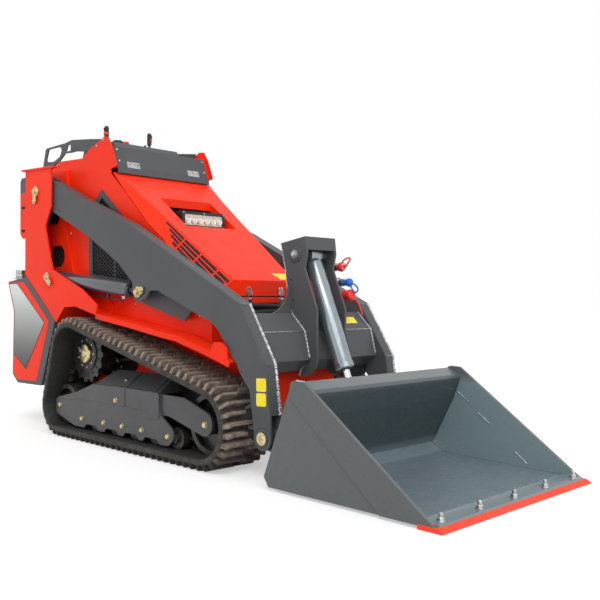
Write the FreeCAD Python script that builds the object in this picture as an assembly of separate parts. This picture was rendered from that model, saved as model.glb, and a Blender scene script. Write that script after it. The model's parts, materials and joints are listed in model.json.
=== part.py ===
import FreeCAD, Part
import math
import os

V = FreeCAD.Vector

# A stand-on compact track loader, in millimetres. +X is forward, +Y the machine's left, +Z up, the ground Z = 0.
# Stations along X are counted from a datum between the tracks. The finished pieces are then shifted so that
# the origin lies under the middle of the box that runs from the cutting edge to the platform's rear.

# ---- driving dimensions ----
BUCKET_FRONT = 1530.0
PLATFORM_REAR = -1690.0
SHIFT_X = -(BUCKET_FRONT + PLATFORM_REAR) / 2

# chassis between the belts
TUB_HALF = 212.0
TUB_WALL = 10.0
BELLY_Z = 150.0
TUB_FRONT = 478.0
TUB_REAR_Z = 220.0
TUB_FRONT_TOP = 452.0

# tracks: a belt over a driven sprocket, a front idler and a rear idler
BELT_CLEAR = 10.0
BELT_INNER = TUB_HALF + BELT_CLEAR
BELT_WIDTH = 280.0
BELT_THICK = 55.0
SPROCKET_X = -690.0
SPROCKET_Z = 430.0
SPROCKET_LOOP_R = 190.0
FRONT_IDLER_X = 352.0
FRONT_IDLER_LOOP_R = 187.0
REAR_IDLER_X = -805.0
REAR_IDLER_LOOP_R = 160.0
WHEEL_GAP = 0.2
SPROCKET_TEETH = 15
SPROCKET_TOOTH = 15.0
SPROCKET_THICK = 34.0
FLANGE_THICK = 6.0
HUB_DEPTH = 8.0
GROOVE_GAP = 3.0
ROLLER_R = 48.0
ROLLER_STATIONS = (-518.0, -337.0, -178.0, -19.0, 140.0)
ROLLER_FACE = 56.0
ROLLER_AXLE_R = 20.0
ROLLER_END_GAP = 16.0

# track frame: two side plates under a folded top
FRAME_SETBACK = 40.0
FRAME_PLATE = 10.0
FRAME_TOP = 8.0
FRAME_LOW_Z = 66.0
FRAME_NOTCH_Z = 86.0
FRAME_NOTCH_HALF = 44.0
IDLER_ARM = 12.0
ROOF_REAR = -505.0
ROOF_FRONT = 28.0
ROOF_HIP = 80.0
ROOF_FOOT_Z = 289.0
ROOF_PEAK_Z = 363.0
ROOF_SHEET = 8.0

# body above the belts
BODY_HALF = 324.0
BODY_SHEET = 6.0
BODY_REAR = -1259.0
REAR_WALL = 10.0
FENDER_SHEET = 8.0
FENDER_FLANGE = 26.0
HOOD_FRONT = 241.0
HOOD_SHEET = 7.0
HOOD_GAP = 5.0
HOOD_TOP_REAR_HALF = 303.0
HOOD_TOP_FRONT_HALF = 200.0
LAMP_WIDTH = 280.0
LAMP_HEIGHT = 80.0
LAMP_DEPTH = 52.0
LAMP_X = -205.0
LAMP_Z = 1070.0
LAMP_POCKET_HALF = 165.0
LAMP_POCKET_REAR = -348.0
NAME_PLATE_HALF = 303.0

# lift arms and the posts that carry them
POST_INNER_PLATE = 14.0
ARM_CLEAR = 12.0
ARM_WIDTH = 65.0
ARM_PLATE = 10.0
ARM_OUTER_CLEAR = 10.0
POST_OUTER_PLATE = 10.0
ARM_INNER = BODY_HALF + POST_INNER_PLATE + ARM_CLEAR
ARM_OUTER = ARM_INNER + ARM_WIDTH
ARM_MIDDLE = ARM_INNER + ARM_WIDTH / 2
POST_INSIDE = ARM_OUTER + ARM_OUTER_CLEAR
FENDER_HALF = POST_INSIDE + POST_OUTER_PLATE
CAP_CLEAR = 6.0
CAP_WIDTH = 24.0
CAP_SHEET = 10.0
PIVOT = (-1130.0, 1308.0)
PIVOT_PIN_R = 25.0
PIN_GAP = 0.05
PIN_HEAD_R = 26.0
PIN_HEAD = 8.0
BUCKET_PIN = (652.0, 165.0)
BUCKET_PIN_R = 20.0
BUCKET_BOSS_R = 46.0

# lift cylinders
LIFT_BASE = (-1001.0, 831.0)
LIFT_EYE = (-180.0, 745.0)
LIFT_BARREL_R = 38.0
LIFT_BARREL_LENGTH = 714.0
LIFT_ROD_R = 18.0
LIFT_PIN_R = 20.0
LIFT_BOSS_R = 48.0
LIFT_EYE_R = 34.0
LIFT_EYE_WIDTH = 38.0
LIFT_ROD_START = 130.0

# tilt cylinder on the tower
TILT_BASE = (528.0, 905.0)
TILT_EYE = (768.0, 303.0)
TILT_BARREL_R = 39.5
TILT_BARREL_LENGTH = 521.0
TILT_ROD_R = 17.5
TILT_PIN_R = 17.5
TILT_EYE_R = 30.0
TILT_EYE_WIDTH = 40.0
TILT_ROD_START = 190.0
TILT_BASE_WIDTH = 70.0
TOWER_HALF = 97.0
TOWER_PLATE = 12.0

# bucket
BUCKET_HALF = 504.0
BUCKET_SIDE = 8.0
BUCKET_DOUBLER = 6.0
BUCKET_SHEET = 10.0
CUTTING_EDGE_HALF = BUCKET_HALF + 8.0
CUTTING_EDGE_THICK = 16.0
CUTTING_EDGE_DEPTH = 95.0
EDGE_BOLT_PITCH = 225.8
EDGE_BOLT_SETBACK = 48.0
EDGE_BOLT_R = 8.0
EAR_THICK = 31.0

# tanks, rear housing, platform and controls
TANK_STEP = 3.0
TANK_CAP = (-1410.0, 381.0)
TANK_CAP_R = 30.0
TANK_CAP_TOP = 880.0
PLATFORM_HALF = 200.0
PLATFORM_HINGE = (-1300.0, 250.0)
PLATFORM_PIN_R = 12.0
PLATFORM_TUBE_R = 20.0
PLATFORM_SHEET = 20.0
PLATFORM_RIM = 34.0
HOUSING_REAR = -1392.0
HOUSING_HALF = 400.0
GUARD_SHEET = 8.0
LEVER_X = -869.0
LEVER_HALF = 146.0
LEVER_TOP = 1676.0
LEVER_R = 13.0
LEVER_STICK_R = 7.0
LEVER_STICK = 50.0
POD_TOP = 1556.0
POD_HALF = 215.0

# outlines in the X-Z plane, as (station, height) or (station, height, corner radius)
FENDER_LINE = [(BODY_REAR, 862), (-911, 597), (-830, 676), (-717, 682), (-520, 639), (-241, 603),
               (47, 561), (127, 553), (155, 545), (292, 512), (420, 477), (478, 459)]
HOOD_LINE = [(-540, 1359), (-447, 1272), (-340, 1174), (-236, 1078), (-117, 998), (-33, 921),
             (HOOD_FRONT, 713)]
HOOD_TOP = [(-559, 1377), (HOOD_FRONT, 799)]
HOOD_HINGE = (-519.0, 1376.0)
NAME_PLATE_LINE = [(-526, 1388), (-567, 1502)]
CONSOLE_LINE = [(-1249, 1400), (-1075, 1452), (-836, 1438), (-763, 1468), (-640, 1500), (-590, 1504)]
GRILLE = [(-638, 1284), (-391, 1084), (-364, 765), (-763, 812), (-763, 1183)]
TUB_LINE = [(BODY_REAR + REAR_WALL, TUB_REAR_Z), (-1130, BELLY_Z), (TUB_FRONT - 140, BELLY_Z),
            (TUB_FRONT, 270), (TUB_FRONT, TUB_FRONT_TOP)]


# ---- small helpers ----
def outline(points):
    """Closed wire through (x, z) corners; a third number rounds that corner to its radius."""
    spans = []
    for i, point in enumerate(points):
        corner = V(point[0], 0, point[1])
        if len(point) < 3:
            spans.append((corner, None, corner))
            continue
        before = points[i - 1]
        after = points[(i + 1) % len(points)]
        back = (V(before[0], 0, before[1]) - corner).normalize()
        ahead = (V(after[0], 0, after[1]) - corner).normalize()
        half = back.getAngle(ahead) / 2
        reach = point[2] / math.tan(half)
        middle = corner + (back + ahead).normalize() * (point[2] / math.sin(half) - point[2])
        spans.append((corner + back * reach, middle, corner + ahead * reach))
    edges = []
    for i, (start, middle, end) in enumerate(spans):
        if middle:
            edges.append(Part.Arc(start, middle, end).toShape())
        following = spans[(i + 1) % len(spans)][0]
        if end.distanceToPoint(following) > 1e-6:
            edges.append(Part.makeLine(end, following))
    return Part.Wire(edges)


def plate(points, y0, y1):
    """Flat plate with an X-Z outline, from y0 to y1."""
    face = Part.Face(outline(points))
    face.translate(V(0, y0, 0))
    return face.extrude(V(0, y1 - y0, 0))


def offset_line(points, distance):
    """The open line moved to the left of its travel by distance, with mitred corners."""
    moved = []
    for i, (x, z) in enumerate(points):
        normals = []
        for a, b in ((i - 1, i), (i, i + 1)):
            if a < 0 or b >= len(points):
                continue
            dx = points[b][0] - points[a][0]
            dz = points[b][1] - points[a][1]
            length = math.hypot(dx, dz)
            normals.append((-dz / length, dx / length))
        nx = sum(n[0] for n in normals) / len(normals)
        nz = sum(n[1] for n in normals) / len(normals)
        scale = distance / (nx * nx + nz * nz)
        moved.append((x + nx * scale, z + nz * scale))
    return moved


def strip(points, thickness, y0, y1):
    """Folded sheet along an open line, thickened to the left of its travel."""
    return plate(points + offset_line(points, thickness)[::-1], y0, y1)


def height_at(points, x):
    """Height of a line that runs along X, at station x."""
    for (xa, za), (xb, zb) in zip(points, points[1:]):
        if xa <= x <= xb:
            return za + (zb - za) * (x - xa) / (xb - xa)
    raise ValueError("station outside the line")


def block(x0, x1, y0, y1, z0, z1):
    return Part.makeBox(x1 - x0, y1 - y0, z1 - z0, V(x0, y0, z0))


def disc(x, z, radius, y0, y1):
    """Cylinder along Y."""
    return Part.makeCylinder(radius, y1 - y0, V(x, y0, z), V(0, 1, 0))


def bar(start, end, radius, skip=0.0, length=None, y=0.0):
    """Cylinder along the X-Z line from start towards end, from skip on, at width y."""
    direction = V(end[0] - start[0], 0, end[1] - start[1])
    run = direction.Length - skip if length is None else length
    direction.normalize()
    return Part.makeCylinder(radius, run, V(start[0], y, start[1]) + direction * skip, direction)


def fuse(shapes):
    joined = shapes[0]
    for shape in shapes[1:]:
        joined = joined.fuse(shape)
    return joined.removeSplitter()


def mirrored(shape):
    """The same piece on the other side of the machine."""
    return shape.mirror(V(0, 0, 0), V(0, 1, 0))


def both(shape):
    """One node that holds the left piece and its mirror image."""
    return Part.makeCompound([shape, mirrored(shape)])


def save(name, shape):
    shape = shape.copy()
    shape.translate(V(SHIFT_X, 0, 0))
    shape.exportStep("parts/" + name + ".step")


def save_pair(name, left):
    save("left_" + name, left)
    save("right_" + name, mirrored(left))


# ---- tracks ----
SPROCKET_WHEEL = (SPROCKET_X, SPROCKET_Z, SPROCKET_LOOP_R)
FRONT_WHEEL = (FRONT_IDLER_X, FRONT_IDLER_LOOP_R, FRONT_IDLER_LOOP_R)
REAR_WHEEL = (REAR_IDLER_X, REAR_IDLER_LOOP_R, REAR_IDLER_LOOP_R)
BELT_OUTER = BELT_INNER + BELT_WIDTH
BELT_MIDDLE = BELT_INNER + BELT_WIDTH / 2
FRAME_INNER = BELT_INNER + FRAME_SETBACK
FRAME_OUTER = BELT_OUTER - FRAME_SETBACK


def belt_loop(inset):
    """Outline round the three wheels, inset from the belt's outer face."""
    wheels = (FRONT_WHEEL, SPROCKET_WHEEL, REAR_WHEEL)
    touches = []
    for i, (xa, za, ra) in enumerate(wheels):
        xb, zb, rb = wheels[(i + 1) % 3]
        along = V(xb - xa, 0, zb - za)
        lean = (ra - rb) / along.Length
        along.normalize()
        outward = V(-along.z, 0, along.x) * -1
        normal = along * lean + outward * math.sqrt(1 - lean * lean)
        touches.append((normal, V(xa, 0, za) + normal * (ra - inset), V(xb, 0, zb) + normal * (rb - inset)))
    edges = []
    for i, (xa, za, ra) in enumerate(wheels):
        normal_in, _, arrive = touches[i - 1]
        normal_out, leave, _ = touches[i]
        middle = V(xa, 0, za) + (normal_in + normal_out).normalize() * (ra - inset)
        edges.append(Part.Arc(arrive, middle, leave).toShape())
        edges.append(Part.makeLine(leave, touches[i][2]))
    return Part.Wire(edges)


def belt():
    outer = Part.Face(belt_loop(0))
    inner = Part.Face(belt_loop(BELT_THICK))
    loop = outer.cut(inner)
    loop.translate(V(0, BELT_INNER, 0))
    loop = loop.extrude(V(0, BELT_WIDTH, 0))
    tip = SPROCKET_LOOP_R - BELT_THICK + SPROCKET_TOOTH + GROOVE_GAP
    half = SPROCKET_THICK / 2 + GROOVE_GAP
    return loop.cut(disc(SPROCKET_X, SPROCKET_Z, tip, BELT_MIDDLE - half, BELT_MIDDLE + half))


def sprocket():
    """Toothed disc with its hub cap, on the drive motor that reaches out from the chassis wall."""
    root = SPROCKET_LOOP_R - BELT_THICK - WHEEL_GAP
    tip = root + SPROCKET_TOOTH
    step = 2 * math.pi / SPROCKET_TEETH
    rim = []
    for i in range(SPROCKET_TEETH):
        for share, radius in ((-0.30, root), (-0.14, tip), (0.14, tip), (0.30, root)):
            turn = (i + share) * step
            rim.append((SPROCKET_X + radius * math.cos(turn), SPROCKET_Z + radius * math.sin(turn)))
    face = BELT_MIDDLE + SPROCKET_THICK / 2
    wheel = plate(rim, BELT_MIDDLE - SPROCKET_THICK / 2, face)
    flange = disc(SPROCKET_X, SPROCKET_Z, 92, face, face + FLANGE_THICK)
    hub = disc(SPROCKET_X, SPROCKET_Z, 51, face + FLANGE_THICK, face + FLANGE_THICK + HUB_DEPTH)
    inner = BELT_MIDDLE - SPROCKET_THICK / 2
    gearbox = disc(SPROCKET_X, SPROCKET_Z, 88, TUB_HALF, inner - 30)
    neck = disc(SPROCKET_X, SPROCKET_Z, 70, inner - 30, inner)
    return fuse([wheel, flange, hub, gearbox, neck])


def track_roller(x):
    """Two treads either side of the belt's guide lugs, on one axle between the frame plates."""
    z = BELT_THICK + ROLLER_R + WHEEL_GAP
    inner = FRAME_INNER + FRAME_PLATE
    outer = FRAME_OUTER - FRAME_PLATE
    tread_in = disc(x, z, ROLLER_R, inner + ROLLER_END_GAP, inner + ROLLER_END_GAP + ROLLER_FACE)
    tread_out = disc(x, z, ROLLER_R, outer - ROLLER_END_GAP - ROLLER_FACE, outer - ROLLER_END_GAP)
    axle = disc(x, z, ROLLER_AXLE_R, inner, outer)
    return fuse([tread_in, tread_out, axle])


def idler(wheel):
    """Dished wheel that turns the belt, on an axle between the frame's arms."""
    x, z, loop_r = wheel
    radius = loop_r - BELT_THICK - WHEEL_GAP
    inner = FRAME_INNER + FRAME_PLATE + IDLER_ARM
    outer = FRAME_OUTER - FRAME_PLATE - IDLER_ARM
    dish = 30
    rim = disc(x, z, radius, inner + 12, outer - 12)
    hollow = disc(x, z, radius - 22, outer - 12 - dish, outer - 12)
    hollow = hollow.fuse(disc(x, z, radius - 22, inner + 12, inner + 12 + dish))
    hub = disc(x, z, 42, inner + 4, outer - 4)
    axle = disc(x, z, 22, inner, outer)
    return fuse([rim.cut(hollow), hub, axle])


def track_wheels():
    rollers = [track_roller(x) for x in ROLLER_STATIONS]
    return Part.makeCompound(rollers + [idler(FRONT_WHEEL), idler(REAR_WHEEL)])


def frame_edge():
    """Lower edge of a frame plate from front to rear, notched over each roller."""
    edge = [(54, 197), (137, 144, 50), (152, 104, 36), (112, 68, 36), (72, FRAME_LOW_Z, 12)]
    for x in reversed(ROLLER_STATIONS[:-1]):
        edge += [(x + FRAME_NOTCH_HALF + 20, FRAME_LOW_Z, 10), (x + FRAME_NOTCH_HALF, FRAME_NOTCH_Z, 10),
                 (x - FRAME_NOTCH_HALF, FRAME_NOTCH_Z, 10), (x - FRAME_NOTCH_HALF - 20, FRAME_LOW_Z, 10)]
    return edge + [(-672, FRAME_LOW_Z, 20), (-856, 114, 8)]


def roof_space(rear, front, sheet):
    """Peaked space over the frame, hipped at its rear end and drawn in by a sheet's thickness."""
    y0 = FRAME_INNER + FRAME_PLATE + sheet
    y1 = FRAME_OUTER - FRAME_PLATE - sheet
    peak = ROOF_PEAK_Z - sheet
    rings = []
    for x, crest in ((rear, rear + ROOF_HIP), (front, front)):
        ring = [V(x, y0, ROOF_FOOT_Z), V(x, y1, ROOF_FOOT_Z), V(crest, BELT_MIDDLE, peak)]
        rings.append(Part.makePolygon(ring + ring[:1]))
    return Part.makeLoft(rings, True, True)


def track_frame():
    top = [(-856, 186), (-830, 199), (-647, 241), (-600, 258), (-499, 292), (-218, 297), (34, 295)]
    side = top + frame_edge()
    outer = plate(side, FRAME_OUTER - FRAME_PLATE, FRAME_OUTER)
    inner = plate(side, FRAME_INNER, FRAME_INNER + FRAME_PLATE)
    cover_rear = REAR_IDLER_X + REAR_IDLER_LOOP_R - BELT_THICK + 10
    cover_line = [(cover_rear, height_at(top, cover_rear))] + [p for p in top if p[0] > cover_rear]
    cover = strip(cover_line, -FRAME_TOP, FRAME_INNER + FRAME_PLATE, FRAME_OUTER - FRAME_PLATE)
    hollow = (ROOF_REAR + ROOF_SHEET, ROOF_FRONT - ROOF_SHEET)
    well = block(*hollow, FRAME_INNER + FRAME_PLATE + ROOF_SHEET, FRAME_OUTER - FRAME_PLATE - ROOF_SHEET,
                 ROOF_FOOT_Z - 2 * FRAME_TOP, ROOF_FOOT_Z)
    cover = cover.fuse(roof_space(ROOF_REAR, ROOF_FRONT, 0))
    cover = cover.cut(roof_space(*hollow, ROOF_SHEET).fuse(well))
    pieces = [outer, inner, cover]
    arm_in = FRAME_INNER + FRAME_PLATE
    arm_out = FRAME_OUTER - FRAME_PLATE
    x, z, _ = FRONT_WHEEL
    front_arm = [(-60, 282), (40, 289), (208, 287, 60), (x + 58, z + 36, 50), (x + 18, z - 58, 50),
                 (107, 196, 30), (-60, 196)]
    x, z, _ = REAR_WHEEL
    rear_arm = [(-700, 200), (x + 40, z + 30), (x - 52, z + 42, 40), (x - 52, z - 42, 40), (-700, 110)]
    for y0, y1 in ((arm_in, arm_in + IDLER_ARM), (arm_out - IDLER_ARM, arm_out)):
        pieces += [plate(front_arm, y0, y1), plate(rear_arm, y0, y1)]
    for x in (-420, -60):
        pieces.append(block(x - 55, x + 55, TUB_HALF, FRAME_INNER, 205, 275))
    return fuse(pieces)


# ---- chassis and body ----
def tub_wall():
    lowered = offset_line(FENDER_LINE, -FENDER_SHEET)
    under = [(BODY_REAR, height_at(lowered, BODY_REAR))]
    under += [p for p in lowered if BODY_REAR < p[0] < TUB_FRONT]
    end = height_at(FENDER_LINE, TUB_FRONT) - FENDER_SHEET - 1
    side = under + [(TUB_FRONT, end)] + TUB_LINE[-2:0:-1] + [(BODY_REAR, TUB_REAR_Z)]
    return plate(side, TUB_HALF - TUB_WALL, TUB_HALF)


def belly_pan():
    """Folded pan between the chassis walls, and the beams that carry the engine."""
    inside = TUB_HALF - TUB_WALL
    lining = offset_line(TUB_LINE, TUB_WALL)
    pan = plate(TUB_LINE[:4] + lining[3::-1], -inside, inside)
    beams = [block(x - 40, x + 40, -inside, inside, 360, 400) for x in (-480, -150)]
    return Part.makeCompound([pan] + beams)


def engine():
    return block(-600, -90, -190, 190, 400, 850)


def fender():
    """Folded sheet over the belt, with a flange along its open front edge."""
    sheet = strip(FENDER_LINE, -FENDER_SHEET, TUB_HALF - TUB_WALL, FENDER_HALF)
    edge = [p for p in FENDER_LINE if p[0] >= -520]
    flange = strip(edge, -FENDER_FLANGE, FENDER_HALF - FENDER_SHEET, FENDER_HALF)
    return fuse([sheet, flange])


def front_panel():
    """Front wall of the engine bay, with the hose opening, and the deck ahead of it."""
    foot = height_at(FENDER_LINE, HOOD_FRONT - BODY_SHEET)
    inside = BODY_HALF - BODY_SHEET
    face = block(HOOD_FRONT - BODY_SHEET, HOOD_FRONT, -inside, inside, foot, 706)
    lip = block(HOOD_FRONT - BODY_SHEET, HOOD_FRONT, -HOOD_TOP_FRONT_HALF, HOOD_TOP_FRONT_HALF, 706, 722)
    window = block(HOOD_FRONT - 2 * BODY_SHEET, HOOD_FRONT + 1, -185, 185, 640, 696)
    stations = (HOOD_FRONT - BODY_SHEET, 292, 420, TUB_FRONT)
    edge = [(x, height_at(FENDER_LINE, x)) for x in stations]
    tub = TUB_HALF - TUB_WALL
    deck = strip(edge, -FENDER_SHEET, -tub, tub)
    lining = offset_line(TUB_LINE, TUB_WALL)
    wall = plate(TUB_LINE[3:] + lining[:2:-1], -tub, tub)
    return fuse([face, lip, deck, wall]).cut(window)


def side_panel():
    hood_edge = offset_line(HOOD_LINE, -HOOD_GAP)
    top = [(BODY_REAR + REAR_WALL, 1406), (-1075, 1482), (-836, 1468), (-763, 1506), (-638, 1545),
           (-628, 1553), (-582, 1547), (-545, 1490), (-504, 1389), (-556, 1378)]
    foot = [(x, z) for x, z in FENDER_LINE if BODY_REAR < x < HOOD_FRONT]
    foot = [(BODY_REAR + REAR_WALL, height_at(FENDER_LINE, BODY_REAR + REAR_WALL))] + foot
    foot.append((HOOD_FRONT, height_at(FENDER_LINE, HOOD_FRONT)))
    side = top + [(-556, hood_edge[0][1])] + hood_edge[1:-1] + [(HOOD_FRONT, 713 - HOOD_GAP)] + foot[::-1]
    panel = plate(side, BODY_HALF - BODY_SHEET, BODY_HALF)
    return panel.cut(plate(GRILLE, BODY_HALF - 2 * BODY_SHEET, BODY_HALF + 1))


def side_grille():
    return plate(GRILLE, BODY_HALF - BODY_SHEET - 2, BODY_HALF - 2)


def rear_panel():
    inside = BODY_HALF - BODY_SHEET
    upper = block(BODY_REAR, BODY_REAR + REAR_WALL, -inside, inside, 862, 1400)
    tub = TUB_HALF - TUB_WALL
    lower = block(BODY_REAR, BODY_REAR + REAR_WALL, -tub, tub, TUB_REAR_Z, 862)
    return fuse([upper, lower])


def console():
    """Folded top sheet between the cheeks, down to the hood's hinge line."""
    inside = BODY_HALF - BODY_SHEET
    back = offset_line(NAME_PLATE_LINE, BODY_SHEET)
    line = CONSOLE_LINE + [back[1], back[0]]
    return strip(line, -BODY_SHEET, -inside, inside)


def name_plate():
    return strip(NAME_PLATE_LINE, BODY_SHEET, -NAME_PLATE_HALF, NAME_PLATE_HALF)


def control_pod():
    """Raised pod under the levers."""
    rear = -1010
    front = -672
    foot = [(x, z) for x, z in CONSOLE_LINE if rear < x < front]
    base = [(rear, height_at(CONSOLE_LINE, rear))] + foot + [(front, height_at(CONSOLE_LINE, front))]
    top = [(front, 1522), (front - 30, POD_TOP, 20), (rear + 24, POD_TOP, 20), (rear, 1500)]
    return plate(base + top, -POD_HALF, POD_HALF)


def lever():
    up = V(0, 0, 1)
    stick = Part.makeCylinder(LEVER_STICK_R, LEVER_STICK, V(LEVER_X, LEVER_HALF, POD_TOP), up)
    foot = POD_TOP + LEVER_STICK
    grip = Part.makeCylinder(LEVER_R, LEVER_TOP - LEVER_R - foot, V(LEVER_X, LEVER_HALF, foot), up)
    tip = Part.makeSphere(LEVER_R, V(LEVER_X, LEVER_HALF, LEVER_TOP - LEVER_R))
    return fuse([stick, grip, tip])


def control_knob():
    return Part.makeCylinder(28, 14, V(-755, -LEVER_HALF, POD_TOP), V(0, 0, 1))


def hand_guard():
    """Flat guard beside the levers, with two hand openings, bolted inside the cheek."""
    outer = [(-1290, 1414), (-1239, 1578, 20), (-1026, 1579), (-951, 1586), (-776, 1565), (-650, 1547),
             (-668, 1508), (-808, 1502), (-905, 1517), (-958, 1517), (-1022, 1522), (-1081, 1487, 20),
             (-1145, 1466), (-1236, 1414)]
    hand = [(-1236, 1500, 14), (-1206, 1568, 14), (-1081, 1566, 14), (-1058, 1548, 14), (-1080, 1512, 20),
            (-1150, 1491, 14)]
    small = [(-1014, 1530, 5), (-994, 1563, 5), (-966, 1563, 5), (-962, 1530, 5)]
    face = BODY_HALF - BODY_SHEET
    guard = plate(outer, face - GUARD_SHEET, face)
    for hole in (hand, small):
        guard = guard.cut(plate(hole, face - GUARD_SHEET - 1, face + 1))
    return guard


def rear_housing():
    side = [(BODY_REAR, 1062), (BODY_REAR, 1414), (HOUSING_REAR + 20, 1414), (HOUSING_REAR, 1394),
            (HOUSING_REAR, 1090), (HOUSING_REAR + 28, 1062)]
    return plate(side, -HOUSING_HALF, HOUSING_HALF)


def tank():
    slope = offset_line(FENDER_LINE[:2], -FENDER_SHEET)
    side = [(-1462, 812, 12), (-1390, 647), (-1403, 278, 20), (-1339, 232, 20), (-1065, 236, 12),
            (slope[1][0] - 4, slope[1][1] + 3), (BODY_REAR, slope[0][1] - 6), (BODY_REAR - 4, 832)]
    return plate(side, TUB_HALF, FENDER_HALF + TANK_STEP)


def tank_cap():
    x, y = TANK_CAP
    return Part.makeCylinder(TANK_CAP_R, 80, V(x, y, TANK_CAP_TOP - 80), V(0, 0, 1)).cut(tank())


def platform():
    """Fold-up standing plate on a hinge tube."""
    x, z = PLATFORM_HINGE
    top = z + PLATFORM_SHEET / 2
    plank = block(PLATFORM_REAR, x, -PLATFORM_HALF, PLATFORM_HALF, z - PLATFORM_SHEET / 2, top)
    rims = [block(PLATFORM_REAR, x - 40, y, y + 8, top - PLATFORM_RIM, top)
            for y in (-PLATFORM_HALF, PLATFORM_HALF - 8)]
    tube = disc(x, z, PLATFORM_TUBE_R, -PLATFORM_HALF, PLATFORM_HALF)
    bore = disc(x, z, PLATFORM_PIN_R + PIN_GAP, -PLATFORM_HALF, PLATFORM_HALF)
    return fuse([plank, tube] + rims).cut(bore)


def platform_hinge():
    """Pin through the platform's tube, with a lug at each end on the tub wall."""
    x, z = PLATFORM_HINGE
    inside = TUB_HALF - TUB_WALL
    pin = disc(x, z, PLATFORM_PIN_R, -inside, inside)
    lugs = [block(x - 22, BODY_REAR, y, y + TUB_WALL, z - 25, z + 25) for y in (-TUB_HALF, inside)]
    return fuse([pin] + lugs)


# ---- posts ----
POST_FRONT = [(-971, 1211), (-1034, 1108), (-954, 872), (-648, 760), (-512, 684)]
POST_FOOT = FENDER_LINE[:5][::-1]
CAP_LINE = [(-1289, 1446), (-933, 1429)]
POST_OVAL = [(-1138, 1127, 42), (-1050, 1127, 42), (-1050, 1247, 42), (-1138, 1247, 42)]
POST_HOLE = (-1050, 950, 60)
POST_HOLE_RUN = 60


def post():
    """Two plates with the arm and the lift cylinder between them, joined down the back."""
    under_cap = offset_line(CAP_LINE, -CAP_SHEET)
    top = [(BODY_REAR, height_at(under_cap, BODY_REAR)), (-970, height_at(under_cap, -970))]
    outer = plate(top + POST_FRONT + POST_FOOT, POST_INSIDE, FENDER_HALF)
    inner_front = [(-970, 1120), (-900, 860), (-648, 760), (-512, 684)]
    inner = plate(top + inner_front + POST_FOOT, BODY_HALF, ARM_INNER - ARM_CLEAR)
    inner = inner.cut(post_openings())
    web = block(BODY_REAR, BODY_REAR + 10, ARM_INNER - ARM_CLEAR, POST_INSIDE, 862, 1380)
    cap = strip(CAP_LINE, -CAP_SHEET, ARM_OUTER + CAP_CLEAR, ARM_OUTER + CAP_CLEAR + CAP_WIDTH)
    whole = fuse([outer, inner, web, cap])
    for (x, z), radius in ((PIVOT, PIVOT_PIN_R), (LIFT_BASE, LIFT_PIN_R)):
        whole = whole.cut(disc(x, z, radius + PIN_GAP, BODY_HALF, FENDER_HALF))
    return whole


def post_openings():
    """Access openings that go through the post's inner plate and the side panel."""
    y0 = BODY_HALF - 2 * BODY_SHEET
    y1 = ARM_INNER
    x, z, radius = POST_HOLE
    hole = disc(x, z, radius, y0, y1).fuse(disc(x - POST_HOLE_RUN, z, radius, y0, y1))
    hole = hole.fuse(block(x - POST_HOLE_RUN, x, y0, y1, z - radius, z + radius))
    return plate(POST_OVAL, y0, y1).fuse(hole)


def post_pins():
    """Arm pivot pin and lift cylinder base pin, each with a head outside the post."""
    pins = []
    for (x, z), radius in ((PIVOT, PIVOT_PIN_R), (LIFT_BASE, LIFT_PIN_R)):
        pin = disc(x, z, radius, BODY_HALF, FENDER_HALF)
        head = disc(x, z, radius + 5, FENDER_HALF, FENDER_HALF + PIN_HEAD)
        pins.append(fuse([pin, head]))
    return Part.makeCompound(pins)


# ---- lift arms ----
ARM_TOP = [(-987, 1355), (-700, 1233), (-578, 1190), (-264, 1069), (167, 863), (519, 693), (666, 457),
           (694, 258)]
ARM_LEG = [(698, 165), (606, 165), (577, 350), (525, 409), (500, 451), (482, 469), (385, 585), (341, 617)]
ARM_BELLY = [(-150, 712), (-180, 745), (-228, 745), (-235, 796), (-353, 887), (-622, 1032), (-913, 1156)]
ARM_HEEL = [(-1225, 1289, 40), (-1165, 1430, 70)]
ARCH = [(218, 658), (70, 713), (20, 730), (-36, 752, 30), (-95, 750, 25), (-131, 711)]
LOBE = [(165, 677), (137, 653), (95, 613, 12), (-219, 690, 10)]


def arm():
    """Box section: an outer plate with an arch, an inner plate with a lobe, and sheets along the edges."""
    outer = plate(ARM_TOP + ARM_LEG + ARCH + ARM_BELLY + ARM_HEEL, ARM_OUTER - ARM_PLATE, ARM_OUTER)
    inner = plate(ARM_TOP + ARM_LEG + LOBE + ARM_BELLY[2:] + ARM_HEEL, ARM_INNER, ARM_INNER + ARM_PLATE)
    gap = (ARM_INNER + ARM_PLATE, ARM_OUTER - ARM_PLATE)
    top = strip(ARM_TOP, -ARM_PLATE, *gap)
    rear_belly = strip([(-255, 812), (-353, 887), (-622, 1032), (-913, 1156)], -ARM_PLATE, *gap)
    front_belly = strip(ARM_LEG[2:] + ARCH[:2], -ARM_PLATE, *gap)
    x, z = PIVOT
    boss = disc(x, z, 62, *gap)
    pieces = [outer, inner, top, rear_belly, front_belly, boss]
    for x, z, radius in ((*BUCKET_PIN, BUCKET_BOSS_R), (*LIFT_EYE, LIFT_BOSS_R)):
        pieces.append(disc(x, z, radius, ARM_INNER, ARM_INNER + ARM_PLATE))
        pieces.append(disc(x, z, radius, ARM_OUTER - ARM_PLATE, ARM_OUTER))
    x, z = PIVOT
    whole = fuse(pieces).cut(disc(x, z, PIVOT_PIN_R + PIN_GAP, ARM_INNER, ARM_OUTER))
    x, z = BUCKET_PIN
    return whole.cut(disc(x, z, BUCKET_PIN_R + PIN_GAP, ARM_INNER, ARM_OUTER))


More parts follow.
